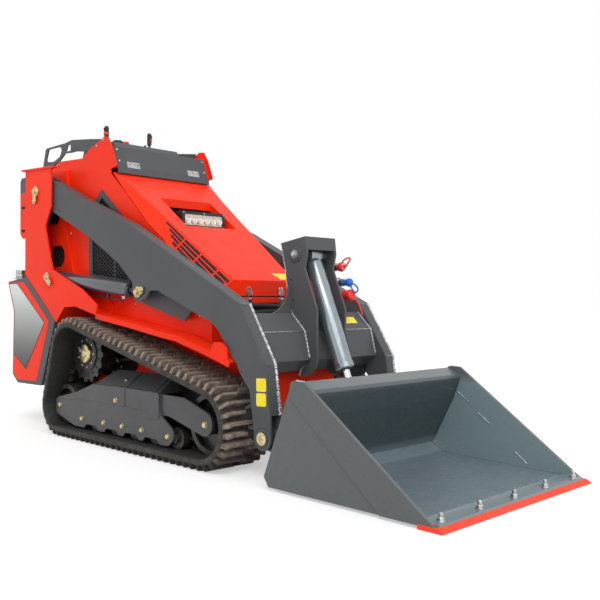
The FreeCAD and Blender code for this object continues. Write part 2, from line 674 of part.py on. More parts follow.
def arm_pins():
    """Bucket pin through the arm's foot, and the head of the lift cylinder's pin."""
    x, z = BUCKET_PIN
    pin = disc(x, z, BUCKET_PIN_R, ARM_INNER - PIN_HEAD, ARM_OUTER)
    head = disc(x, z, PIN_HEAD_R, ARM_OUTER, ARM_OUTER + PIN_HEAD)
    x, z = LIFT_EYE
    lift_heads = [disc(x, z, PIN_HEAD_R, ARM_OUTER, ARM_OUTER + PIN_HEAD),
                  disc(x, z, PIN_HEAD_R, ARM_INNER - PIN_HEAD, ARM_INNER)]
    return Part.makeCompound([fuse([pin, head])] + lift_heads)


CROSS_LINE = [(499, 645), (573, 571), (600, 461), (545, 416)]
CROSS_SHEET = 12.0
CROSS_REAR_SHEET = 8.0
GUSSET_X = 490.0
GUSSET_Z = 646.0
GUSSET_SHEET = 10.0
GUSSET_REACH = 138.0
GUSSET_HEIGHT = 130.0
GUSSET_R = 126.0


def crossmember():
    """Twice-folded plate from arm to arm, closed behind by a second sheet."""
    fold = strip(CROSS_LINE, CROSS_SHEET, -ARM_INNER, ARM_INNER)
    rear = strip([CROSS_LINE[0], (512, 560), CROSS_LINE[3]], -CROSS_REAR_SHEET, -ARM_INNER, ARM_INNER)
    return fuse([fold, rear])


def tower():
    """Two plates under a folded cap, with a curved gusset each side; the tilt cylinder hangs between them."""
    seam = offset_line(CROSS_LINE, CROSS_SHEET)
    reach = TOWER_HALF + GUSSET_REACH
    high = GUSSET_Z + GUSSET_HEIGHT
    gusset = block(GUSSET_X, GUSSET_X + GUSSET_SHEET, TOWER_HALF, reach, GUSSET_Z, high)
    scoop = Part.makeCylinder(GUSSET_R, 2 * GUSSET_SHEET, V(GUSSET_X - 5, reach, high), V(1, 0, 0))
    gusset = gusset.cut(scoop)
    side = [(437, 957), (582, 980), (591, 909), (577, 845), (648, 670), (648, 434, 50), (606, 386, 50),
            (552, 384, 14)] + seam[::-1] + [(475, 760, 40), (465, 839)]
    plates = [plate(side, y, y + TOWER_PLATE) for y in (-TOWER_HALF, TOWER_HALF - TOWER_PLATE)]
    plates += [gusset, mirrored(gusset)]
    lip = (582 + (591 - 582) * 0.78, 980 - (980 - 909) * 0.78)
    cap = strip([(437, 957), (582, 980), lip], -8, -TOWER_HALF, TOWER_HALF)
    inside = TOWER_HALF - TOWER_PLATE
    back = strip([(484, 800), (455, 930)], -8, -inside, inside)
    x, z = TILT_BASE
    return fuse(plates + [cap, back]).cut(disc(x, z, TILT_PIN_R + PIN_GAP, -TOWER_HALF, TOWER_HALF))


def tilt_pin():
    x, z = TILT_BASE
    pin = disc(x, z, TILT_PIN_R, -TOWER_HALF, TOWER_HALF)
    heads = [disc(x, z, TILT_PIN_R + 9, TOWER_HALF, TOWER_HALF + PIN_HEAD),
             disc(x, z, TILT_PIN_R + 9, -TOWER_HALF - PIN_HEAD, -TOWER_HALF)]
    return fuse([pin] + heads)


COUPLER_HEIGHTS = (857.0, 787.0, 731.0)


def couplers():
    """Hydraulic couplers in a row on a bracket at the tower's left side."""
    bracket = block(478, 490, TOWER_HALF, TOWER_HALF + 90, 695, 895)
    foot = TOWER_HALF + 53
    stubs = [Part.makeCylinder(17, 100, V(490, foot, z), V(1, 0, 0)) for z in COUPLER_HEIGHTS]
    return fuse([bracket] + stubs)


# ---- cylinders ----
def barrel(base, eye, radius, length, rod_r, pin_r, eye_half, y):
    """Barrel with its base eye; the bore runs up from the open end."""
    tube = bar(base, eye, radius, skip=radius, length=length - radius, y=y)
    lug = disc(base[0], base[1], radius, y - eye_half, y + eye_half)
    bore = bar(base, eye, rod_r + PIN_GAP, skip=3 * radius, length=length, y=y)
    pin = disc(base[0], base[1], pin_r + PIN_GAP, y - eye_half, y + eye_half)
    return fuse([tube, lug]).cut(bore).cut(pin)


def rod(base, eye, radius, inner_end, eye_r, eye_half, y):
    """Rod with its eye, reaching back into the barrel."""
    full = math.hypot(eye[0] - base[0], eye[1] - base[1])
    shaft = bar(base, eye, radius, skip=inner_end, length=full - inner_end, y=y)
    knuckle = disc(eye[0], eye[1], eye_r, y - eye_half, y + eye_half)
    return fuse([shaft, knuckle])


# ---- bucket ----
SHELL_LINE = [(903, 412), (957, 385), (960, 371), (927, 281), (820, 72), (876, 39), (993, 31), (1220, 26),
              (1444, 20)]
SIDE_TOP = [(1505, 11), (1480, 24), (957, 417), (902, 417), (890, 405)]


def edge_space():
    """The space of the cutting edge, which the sheets above it stop at."""
    return block(BUCKET_FRONT - CUTTING_EDGE_DEPTH, BUCKET_FRONT, -CUTTING_EDGE_HALF, CUTTING_EDGE_HALF, 0,
                 CUTTING_EDGE_THICK)


def bucket_shell():
    inside = BUCKET_HALF - BUCKET_SIDE
    return strip(SHELL_LINE, -BUCKET_SHEET, -inside, inside).cut(edge_space())


def bucket_side():
    """Side plate with a doubler along its sloping edge."""
    side = plate(SIDE_TOP + [(750, 48), (774, 12)], BUCKET_HALF - BUCKET_SIDE, BUCKET_HALF)
    doubler_line = SIDE_TOP + [(888, 356), (1269, 31), (1290, 11)]
    doubler = plate(doubler_line, BUCKET_HALF, BUCKET_HALF + BUCKET_DOUBLER)
    return fuse([side, doubler]).cut(edge_space())


def cutting_edge():
    rear = BUCKET_FRONT - CUTTING_EDGE_DEPTH
    side = [(rear, 0), (BUCKET_FRONT - 4, 0), (BUCKET_FRONT, 3), (BUCKET_FRONT - 22, CUTTING_EDGE_THICK),
            (rear, CUTTING_EDGE_THICK)]
    edge = plate(side, -CUTTING_EDGE_HALF, CUTTING_EDGE_HALF)
    for i in (-2, -1, 0, 1, 2):
        spot = V(BUCKET_FRONT - EDGE_BOLT_SETBACK, i * EDGE_BOLT_PITCH, 0)
        edge = edge.cut(Part.makeCylinder(EDGE_BOLT_R, CUTTING_EDGE_THICK, spot, V(0, 0, 1)))
    return edge


def attachment_plate():
    """Plate on the bucket's back with an ear for each arm and a pair for the tilt cylinder."""
    top, foot = offset_line(SHELL_LINE[3:5], -BUCKET_SHEET)
    high = (top[0] + (foot[0] - top[0]) * 0.1, top[1] + (foot[1] - top[1]) * 0.1)
    low = (top[0] + (foot[0] - top[0]) * 0.88, top[1] + (foot[1] - top[1]) * 0.88)
    face = strip([high, low], -20, -440, 440)
    x, z = BUCKET_PIN
    arm_ear = [(x - 20, z + 40, 30), (x + 60, z + 40), (high[0] - 30, high[1] - 50),
               (low[0] - 10, low[1] + 15), (x + 60, z - 55), (x - 20, z - 40, 30)]
    ears = []
    for side in (-1, 1):
        y = side * ARM_MIDDLE - EAR_THICK / 2
        ears.append(plate(arm_ear, y, y + EAR_THICK).fuse(disc(x, z, 40, y, y + EAR_THICK)))
    bores = disc(x, z, BUCKET_PIN_R + PIN_GAP, -ARM_OUTER, ARM_OUTER)
    x, z = TILT_EYE
    tilt_ear = [(x - 24, z + 22, 20), (x + 22, z + 34, 20), (high[0] - 14, high[1] + 2),
                (low[0] + 20, low[1] + 80), (x - 16, z - 34, 20)]
    gap = TILT_EYE_WIDTH / 2 + 5
    for y in (-gap - 20, gap):
        ears.append(plate(tilt_ear, y, y + 20))
    heads = [disc(x, z, 26, y, y + PIN_HEAD) for y in (-gap - 20 - PIN_HEAD, gap + 20)]
    return fuse([face] + ears + heads).cut(bores)


# ---- hood ----
def hood_section(x, outer_z, top_half, top_z, sheet):
    """Closed Y-Z wire of the hood's cross-section at station x, drawn in by the sheet thickness."""
    edge = BODY_HALF - sheet
    foot = outer_z - (1 if sheet else 0)
    rise = top_z - sheet
    half = top_half - sheet * 0.4
    corners = [V(x, -edge, foot), V(x, -half, rise), V(x, half, rise), V(x, edge, foot)]
    return Part.makePolygon(corners + corners[:1])


def hood_body(sheet, front):
    """Hood solid whose sections follow the body's edge line and the flat top."""
    sections = []
    run = HOOD_TOP[1][0] - HOOD_TOP[0][0]
    for x, outer_z in HOOD_LINE:
        share = (x - HOOD_TOP[0][0]) / run
        top_half = HOOD_TOP_REAR_HALF + (HOOD_TOP_FRONT_HALF - HOOD_TOP_REAR_HALF) * share
        top_z = HOOD_TOP[0][1] + (HOOD_TOP[1][1] - HOOD_TOP[0][1]) * share
        sections.append(hood_section(min(x, front), outer_z, top_half, top_z, sheet))
    return Part.makeLoft(sections, True, True)


def hood():
    """Shell with a pocket for the work light; its lower front edge stands clear of the front wall."""
    outer = hood_body(0, HOOD_FRONT)
    inner = hood_body(HOOD_SHEET, HOOD_FRONT - HOOD_SHEET)
    rear = LAMP_POCKET_REAR
    half = LAMP_POCKET_HALF
    pocket = block(rear, LAMP_X + 120, -half, half, LAMP_Z, LAMP_Z + 200)
    lined = block(rear - HOOD_SHEET, LAMP_X + 130, -half - HOOD_SHEET, half + HOOD_SHEET,
                  LAMP_Z - HOOD_SHEET, LAMP_Z + 200)
    shell = outer.cut(pocket).cut(inner.cut(lined))
    sill = block(HOOD_FRONT - 40, HOOD_FRONT + 1, -300, 300, 700, 727)
    return shell.cut(sill)


def work_light():
    half = LAMP_WIDTH / 2
    return block(LAMP_X - LAMP_DEPTH, LAMP_X, -half, half, LAMP_Z, LAMP_Z + LAMP_HEIGHT)


def hood_hinge():
    x, z = HOOD_HINGE
    knuckle = disc(x, z, 7, 160, 235)
    drop = (HOOD_TOP[1][1] - HOOD_TOP[0][1]) / (HOOD_TOP[1][0] - HOOD_TOP[0][0])
    at = [(s, HOOD_TOP[0][1] + drop * (s - HOOD_TOP[0][0])) for s in (-532, -500)]
    leaf = plate([(x - 5, z - 2), (x + 5, z + 2), at[1], at[0]], 160, 235)
    return fuse([knuckle, leaf])


def hood_latch():
    return block(HOOD_FRONT, HOOD_FRONT + 12, 92, 118, 730, 768)


def write_chassis():
    save("belly_pan", belly_pan())
    save_pair("chassis_wall", tub_wall())
    save("engine_block", engine())
    save("front_panel", front_panel())
    save("rear_panel", rear_panel())
    save_pair("fender", fender())
    save_pair("side_panel", side_panel().cut(post_openings()))
    save("side_grilles", both(side_grille()))
    save("control_console", console())
    save("name_plate", name_plate())
    save("control_pod", control_pod())
    save("control_levers", Part.makeCompound([both(lever()), control_knob()]))
    save("hand_guards", both(hand_guard()))
    save("rear_housing", rear_housing())
    save_pair("tank", tank())
    save("tank_caps", both(tank_cap()))
    save_pair("post", post())
    save("post_pins", both(post_pins()))
    save("platform_hinge", platform_hinge())


def write_tracks():
    save_pair("track", belt())
    save_pair("drive_sprocket", sprocket())
    save_pair("track_frame", track_frame())
    save_pair("track_wheels", track_wheels())


def write_boom():
    save_pair("arm", arm())
    save("arm_pins", both(arm_pins()))
    save("crossmember", crossmember())
    save("tilt_tower", tower())
    save("tilt_pin", tilt_pin())
    save("hydraulic_couplers", couplers())


def write_cylinders():
    half = ARM_WIDTH / 2 - 4
    line = (LIFT_BASE, LIFT_EYE)
    save_pair("lift_barrel", barrel(*line, LIFT_BARREL_R, LIFT_BARREL_LENGTH, LIFT_ROD_R, LIFT_PIN_R, half,
                                    ARM_MIDDLE))
    save_pair("lift_rod", rod(*line, LIFT_ROD_R, LIFT_ROD_START, LIFT_EYE_R, LIFT_EYE_WIDTH / 2, ARM_MIDDLE))
    line = (TILT_BASE, TILT_EYE)
    save("tilt_barrel", barrel(*line, TILT_BARREL_R, TILT_BARREL_LENGTH, TILT_ROD_R, TILT_PIN_R,
                               TILT_BASE_WIDTH / 2, 0))
    save("tilt_rod", rod(*line, TILT_ROD_R, TILT_ROD_START, TILT_EYE_R, TILT_EYE_WIDTH / 2, 0))


def write_bucket():
    save("bucket_shell", bucket_shell())
    save_pair("bucket_side", bucket_side())
    save("cutting_edge", cutting_edge())
    save("attachment_plate", attachment_plate())


def write_hood():
    save("hood", hood())
    save("work_light", work_light())
    save("hood_hinges", both(hood_hinge()))
    save("hood_latches", both(hood_latch()))


os.makedirs("parts", exist_ok=True)
write_chassis()
write_tracks()
write_boom()
write_cylinders()
write_bucket()
write_hood()
save("platform", platform())
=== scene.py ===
import json
import math

import bmesh
import bpy
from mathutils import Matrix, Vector

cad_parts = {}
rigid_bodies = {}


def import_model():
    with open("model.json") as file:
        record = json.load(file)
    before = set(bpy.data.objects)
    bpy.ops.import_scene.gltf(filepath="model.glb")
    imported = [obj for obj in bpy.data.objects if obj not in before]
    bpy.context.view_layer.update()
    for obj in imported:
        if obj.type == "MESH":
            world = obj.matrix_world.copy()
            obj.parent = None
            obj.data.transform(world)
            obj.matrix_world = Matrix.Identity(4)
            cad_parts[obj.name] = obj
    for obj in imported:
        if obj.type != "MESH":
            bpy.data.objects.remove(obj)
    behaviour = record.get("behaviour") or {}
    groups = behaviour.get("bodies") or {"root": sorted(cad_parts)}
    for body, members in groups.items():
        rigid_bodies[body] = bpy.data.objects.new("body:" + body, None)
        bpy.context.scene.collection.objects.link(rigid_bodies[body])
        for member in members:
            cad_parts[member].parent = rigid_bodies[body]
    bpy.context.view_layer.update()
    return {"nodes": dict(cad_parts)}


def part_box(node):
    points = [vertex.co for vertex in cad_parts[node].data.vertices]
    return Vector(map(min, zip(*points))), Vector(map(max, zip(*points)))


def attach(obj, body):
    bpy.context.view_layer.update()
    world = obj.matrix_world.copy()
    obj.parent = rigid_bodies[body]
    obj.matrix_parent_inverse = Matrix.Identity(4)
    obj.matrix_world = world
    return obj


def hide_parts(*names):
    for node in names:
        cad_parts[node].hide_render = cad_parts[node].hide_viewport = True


for stray in list(bpy.data.objects):
    bpy.data.objects.remove(stray)

# A stand-on compact track loader. Places are written as (station, width, height) in millimetres, with
# stations counted from the same datum as in the part's source; mm() turns them into the frame's metres.

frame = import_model()
NODES = frame["nodes"]
DATUM = 80.0
UP = (0, 0, 1)
FORWARD = (1, 0, 0)
SIDES = (("left", 1), ("right", -1))


def mm(x, y, z):
    return Vector(((x + DATUM) / 1000, y / 1000, z / 1000))


def mms(*places):
    return [mm(*place) for place in places]


def node_box(name):
    """Lowest and highest corner of a CAD node as (station, width, height)."""
    low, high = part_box(name)
    return [(p.x * 1000 - DATUM, p.y * 1000, p.z * 1000) for p in (low, high)]


def outer_face(name, s):
    """Width of a node's face on the side that s (1 or -1) names."""
    return node_box(name)[1 if s > 0 else 0][1]


def heading(degrees):
    return Vector((math.cos(math.radians(degrees)), math.sin(math.radians(degrees))))


def square_to(run):
    return Vector((-run.y, run.x))


def on_circle(count, radius, shift=0.0):
    """Places spread round a circle in the station-height plane, as vectors in metres."""
    for k in range(count):
        angle = 2 * math.pi * (k + shift) / count
        yield Vector((math.cos(angle), 0, math.sin(angle))) * radius / 1000


# ---- materials ----
def srgb(red, green, blue):
    """Linear colour of an sRGB triple given from 0 to 255."""
    linear = []
    for value in (red, green, blue):
        share = value / 255
        linear.append(share / 12.92 if share <= 0.04045 else ((share + 0.055) / 1.055) ** 2.4)
    return (*linear, 1.0)


class Nodes:
    """Node graph of one material, with short calls for the nodes used here."""

    def __init__(self, name):
        self.material = bpy.data.materials.new(name)
        self.material.use_nodes = True
        self.tree = self.material.node_tree
        self.shader = self.tree.nodes["Principled BSDF"]
        self.coordinates = self.tree.nodes.new("ShaderNodeTexCoord").outputs["Object"]

    def join(self, value, socket):
        """Number, colour or another node's output given to a socket."""
        if isinstance(value, (int, float, tuple)):
            socket.default_value = value
        else:
            self.tree.links.new(value, socket)

    def set(self, **values):
        for name, value in values.items():
            self.join(value, self.shader.inputs[name.replace("_", " ")])

    def node(self, kind, **values):
        """New node with values given to its named inputs."""
        made = self.tree.nodes.new("ShaderNode" + kind)
        for name, value in values.items():
            self.join(value, made.inputs[name.replace("_", " ")])
        return made

    def feed(self, output, name):
        self.join(output, self.shader.inputs[name])

    def noise(self, scale, detail=3.0, roughness=0.5, stretch=(1, 1, 1)):
        mapping = self.node("Mapping", Vector=self.coordinates, Scale=stretch)
        texture = self.node("TexNoise", Vector=mapping.outputs[0], Scale=scale, Detail=detail,
                            Roughness=roughness)
        return texture.outputs["Fac"]

    def span(self, value, low, high, to_low=0.0, to_high=1.0):
        """Value from low to high mapped to the new span, and held at its ends."""
        made = self.node("MapRange", Value=value, From_Min=low, From_Max=high, To_Min=to_low, To_Max=to_high)
        return made.outputs["Result"]

    def math(self, operation, first, second):
        made = self.node("Math")
        made.operation = operation
        self.join(first, made.inputs[0])
        self.join(second, made.inputs[1])
        return made.outputs[0]

    def mix(self, share, first, second):
        made = self.node("Mix", Factor=share)
        made.data_type = "RGBA"
        self.join(first, made.inputs[6])
        self.join(second, made.inputs[7])
        return made.outputs[2]

    def axis(self, name):
        return self.node("SeparateXYZ", Vector=self.coordinates).outputs[name]

    def bump(self, *layers):
        """Bump made of (height, depth in metres) layers, one after another."""
        normal = None
        for height, depth in layers:
            made = self.node("Bump", Height=height, Distance=depth)
            if normal:
                self.join(normal, made.inputs["Normal"])
            normal = made.outputs["Normal"]
        self.feed(normal, "Normal")


def paint(name, colour, dust=0.05, gloss=0.34, shine=0.4, upper=None, painted_light_zones=()):
    """Sprayed gloss paint: slight colour drift, orange peel, fine scratches, and dust that thins with height.

    upper is a second colour and the height in metres where it takes over. painted_light_zones are painted
    light and shade:
    further colours, each with the distance from the centre plane that it stays within and the height it
    starts at.
    """
    n = Nodes(name)
    drift = n.noise(3.0, 4.0)
    darker = tuple(c * 0.92 for c in colour[:3]) + (1.0,)
    base = n.mix(n.span(drift, 0.35, 0.65), darker, colour)
    if upper:
        base = n.mix(n.span(n.axis("Z"), upper[1] - 0.0005, upper[1] + 0.0005), base, upper[0])
    # Painted light and shade: each zone lays its own colour over part of the surface, paler where light falls
    # and darker where shade falls.
    for painted_tone, reach, foot in painted_light_zones:
        near = n.math("LESS_THAN", n.math("ABSOLUTE", n.axis("Y"), 0.0), reach)
        share = n.math("MULTIPLY", near, n.span(n.axis("Z"), foot - 0.02, foot + 0.02))
        base = n.mix(share, base, painted_tone)
    grime = n.noise(26.0, 6.0, 0.65)
    height = n.span(n.axis("Z"), 0.05, 0.75, dust, dust * 0.2)
    share = n.math("MULTIPLY", height, n.span(grime, 0.42, 0.72))
    n.feed(n.mix(share, base, srgb(150, 138, 122)), "Base Color")
    rough = n.math("ADD", n.span(n.noise(9.0, 4.0), 0.3, 0.7, gloss - 0.05, gloss + 0.06),
                   n.math("MULTIPLY", share, 0.4))
    n.feed(rough, "Roughness")
    n.bump((n.noise(420.0, 2.0), 0.0001), (n.noise(14.0, 2.0), 0.00022),
           (n.noise(150.0, 4.0, 0.7, (1, 1, 12)), 0.000006))
    n.set(Specular_IOR_Level=shine)
    return n.material


def mottled(name, colours, patches, rough, bump, **values):
    """Material in two colours that run into each other; each noise comes with the span it is mapped to."""
    n = Nodes(name)
    n.feed(n.mix(n.span(n.noise(*patches[0]), *patches[1]), *colours), "Base Color")
    n.feed(n.span(n.noise(*rough[0]), *rough[1]), "Roughness")
    n.bump((n.noise(*bump[0]), bump[1]))
    n.set(**values)
    return n.material


def metal(name, colour, rough, second, grain=(1, 1, 1), metallic=1.0, pits=0.0001):
    """Plated or bare steel with stains of a second colour."""
    return mottled(name, (colour, second), ((38.0, 5.0, 0.6), (0.42, 0.66)),
                   ((55.0, 4.0), (0.3, 0.7, rough * 0.8, rough * 1.3)), ((260.0, 3.0, 0.6, grain), pits),
                   Metallic=metallic)


def chrome():
    """Hard-chromed rod with faint polishing rings and a dry film of dust."""
    return mottled("polished_chrome", (srgb(222, 226, 230), srgb(196, 200, 205)), ((7.0, 3.0), (0.4, 0.7)),
                   ((120.0, 3.0), (0.35, 0.7, 0.07, 0.16)), ((700.0, 1.0), 0.00001), Metallic=1.0)


def rubber(name, colour, dusted, shine=0.35):
    """Vulcanised rubber: dull, pitted, with dust lying on it in patches."""
    n = Nodes(name)
    dusty = n.span(n.noise(19.0, 7.0, 0.7), 0.40, 0.66)
    blotch = n.span(n.noise(4.0, 3.0), 0.35, 0.65, 0.35, 0.95)
    n.feed(n.mix(n.math("MULTIPLY", dusty, blotch), colour, dusted), "Base Color")
    n.feed(n.span(n.noise(40.0, 4.0), 0.3, 0.7, 0.5, 0.8), "Roughness")
    n.bump((n.noise(210.0, 4.0, 0.7), 0.0005), (n.noise(900.0, 2.0), 0.00012))
    n.set(Specular_IOR_Level=shine)
    return n.material


def tread():
    """The lugs' rubber, scuffed paler and browner than the belt under them, and kept dark near the floor as
    painted shade under the machine.
    """
    n = Nodes("lug_rubber")
    dusty = n.span(n.noise(31.0, 7.0, 0.7), 0.36, 0.62)
    worn = n.mix(dusty, srgb(98, 88, 80), srgb(148, 134, 121))
    # Painted shade: lugs below 0.03 m keep a dark colour, for the shade under the machine.
    n.feed(n.mix(n.span(n.axis("Z"), 0.03, 0.12), srgb(50, 45, 41), worn), "Base Color")
    n.feed(n.span(n.noise(40.0, 4.0), 0.3, 0.7, 0.68, 0.9), "Roughness")
    n.bump((n.noise(190.0, 4.0, 0.7), 0.0006), (n.noise(800.0, 2.0), 0.00015))
    n.set(Specular_IOR_Level=0.3)
    return n.material


def plastic(name, colour, rough=0.5, grain=900.0, depth=0.00008):
    """Moulded plastic with a fine grain."""
    paler = tuple(min(1.0, c * 1.35 + 0.006) for c in colour[:3]) + (1.0,)
    return mottled(name, (colour, paler), ((11.0, 4.0), (0.35, 0.7)),
                   ((70.0, 3.0), (0.3, 0.7, rough - 0.06, rough + 0.08)), ((grain, 2.0), depth))


def cast_iron():
    """Painted cast iron of the engine, sooty in places."""
    return mottled("cast_iron", (srgb(62, 64, 66), srgb(38, 37, 36)), ((12.0, 5.0, 0.65), (0.4, 0.65)),
                   ((50.0, 4.0), (0.3, 0.7, 0.45, 0.7)), ((330.0, 4.0, 0.7), 0.0005), Metallic=0.35)


def tank_decal():
    """Printed film that fades from silver at its top to near black at its foot."""
    n = Nodes("tank_decal")
    fade = n.math("POWER", n.span(n.axis("Z"), 0.33, 0.76), 1.4)
    fleck = n.span(n.noise(1500.0, 2.0), 0.35, 0.65, 0.0, 0.05)
    n.feed(n.mix(n.math("ADD", fade, fleck), srgb(44, 45, 43), srgb(214, 220, 217)), "Base Color")
    n.feed(n.span(n.noise(30.0, 3.0), 0.3, 0.7, 0.28, 0.4), "Roughness")
    n.bump((n.noise(160.0, 2.0), 0.00006))
    n.set(Specular_IOR_Level=0.4)
    return n.material


def lens():
    """Clear lens over the lamps, faintly fluted."""
    return mottled("lamp_lens", (srgb(232, 236, 238), srgb(205, 210, 214)), ((60.0, 3.0), (0.4, 0.7)),
                   ((90.0, 2.0), (0.3, 0.7, 0.05, 0.12)), ((320.0, 1.0, 0.5, (1, 8, 1)), 0.0002),
                   Coat_Weight=0.6, Coat_Roughness=0.05)


RED = srgb(255, 50, 16)
GREY = srgb(84, 86, 89)
M = {
    "body": paint("body_red", RED, dust=0.02, shine=0.14),
    "housing": paint("housing_red", RED, dust=0.02, shine=0.14, upper=(GREY, 1.325)),
    "arm": paint("arm_grey", GREY, dust=0.05, gloss=0.44, shine=0.22),
    # The bucket's inside is painted light: paler, bluer greys than its outside, as if lit from the front.
    # From 0.09 m to 0.37 m high its back wall is painted shade.
    "bucket": paint("bucket_grey_with_painted_light", srgb(82, 87, 89), dust=0.03, gloss=0.26, shine=0.6,
                    painted_light_zones=((srgb(124, 142, 147), 0.4975, -1.0), (srgb(108, 122, 128), 0.4955, -1.0),
                           (srgb(58, 68, 72), 0.4955, 0.09), (srgb(88, 96, 99), 0.4975, 0.37))),
    "cover": paint("frame_grey", srgb(70, 71, 73), dust=0.07),
    "edge": paint("edge_red", srgb(255, 72, 48), dust=0.06, gloss=0.45, shine=0.15),
    "black": paint("black_enamel", srgb(26, 26, 27), dust=0.12, gloss=0.30, shine=0.5),
    "barrel": paint("barrel_grey", srgb(74, 78, 84), dust=0.04, gloss=0.13, shine=0.9),
    "steel": metal("satin_steel", srgb(150, 160, 165), 0.2, srgb(141, 151, 156), (1, 1, 9), 0.7, 0.000004),
    "zinc": metal("zinc_plate", srgb(196, 198, 198), 0.32, srgb(160, 160, 156)),
    "gold": metal("yellow_zinc", srgb(210, 199, 160), 0.26, srgb(182, 163, 112)),
    "bare": metal("bare_steel", srgb(150, 150, 150), 0.38, srgb(120, 112, 104), (1, 1, 6)),
    "weld": metal("weld_metal", srgb(212, 214, 216), 0.42, srgb(150, 152, 154)),
    "chrome": chrome(),
    "rubber": rubber("track_rubber", srgb(46, 43, 41), srgb(86, 78, 71)),
    "inner": rubber("inner_rubber", srgb(20, 20, 20), srgb(40, 37, 34), 0.5),
    "lug": tread(),
    "plastic": plastic("black_plastic", srgb(26, 26, 27)),
    "grip": plastic("grip_rubber", srgb(22, 22, 23), 0.5, 500.0, 0.0002),
    "red_plastic": plastic("red_plastic", srgb(232, 44, 40), 0.38),
    "blue_plastic": plastic("blue_plastic", srgb(34, 104, 208), 0.38),
    "yellow": plastic("yellow_film", srgb(252, 220, 30), 0.35),
    # Near-black matte for black parts and print, and also for the dark sheets and slot insides that are
    # painted shade.
    "dark": plastic("black_and_painted_shade", srgb(10, 10, 11), 0.8),
    "iron": cast_iron(),
    "decal": tank_decal(),
    "lens": lens(),
    "reflector": metal("reflector", srgb(226, 228, 214), 0.3, srgb(206, 208, 190), metallic=0.35),
}
KINDS = {
    "body": "belly_pan chassis_wall front_panel rear_panel fender side_panel control_console post hood",
    "iron": "engine_block",
    "plastic": "side_grilles work_light",
    "arm": "name_plate control_pod hand_guards tank arm crossmember tilt_tower tilt_pin",
    "grip": "control_levers",
    "housing": "rear_housing",
    "zinc": "tank_caps platform_hinge hydraulic_couplers hood_hinges hood_latches",
    "gold": "post_pins arm_pins",
    "rubber": "track",
    "black": "drive_sprocket track_wheels platform",
    "cover": "track_frame",
    "barrel": "lift_barrel",
    "chrome": "lift_rod tilt_rod",
    "steel": "tilt_barrel",
    "bucket": "bucket_shell bucket_side attachment_plate",
    "edge": "cutting_edge",
}
CAD_LOOK = {kind: key for key, kinds in KINDS.items() for kind in kinds.split()}
BEVEL = {"hood": 3.0, "tank": 6.0, "rear_housing": 5.0, "control_pod": 5.0, "engine_block": 8.0, "track": 0.0,
         "control_levers": 0.0}


def soften_edges(item, width, degrees):
    bevel = item.modifiers.new("soften", "BEVEL")
    bevel.width = width / 1000
    bevel.segments = 2
    bevel.limit_method = "ANGLE"
    bevel.angle_limit = math.radians(degrees)
    return bevel


def dress_nodes():
    """Material and softened edges for every CAD node."""
    for name, item in NODES.items():
        kind = name.split("_", 1)[1] if name.startswith(("left_", "right_")) else name
        for slot in item.material_slots:
            slot.material = M[CAD_LOOK[kind]]
        width = BEVEL.get(kind, 1.6)
        if width:
            weld = item.modifiers.new("weld", "WELD")
            weld.merge_threshold = 0.00002
            soften = soften_edges(item, width, 28)
            soften.harden_normals = True


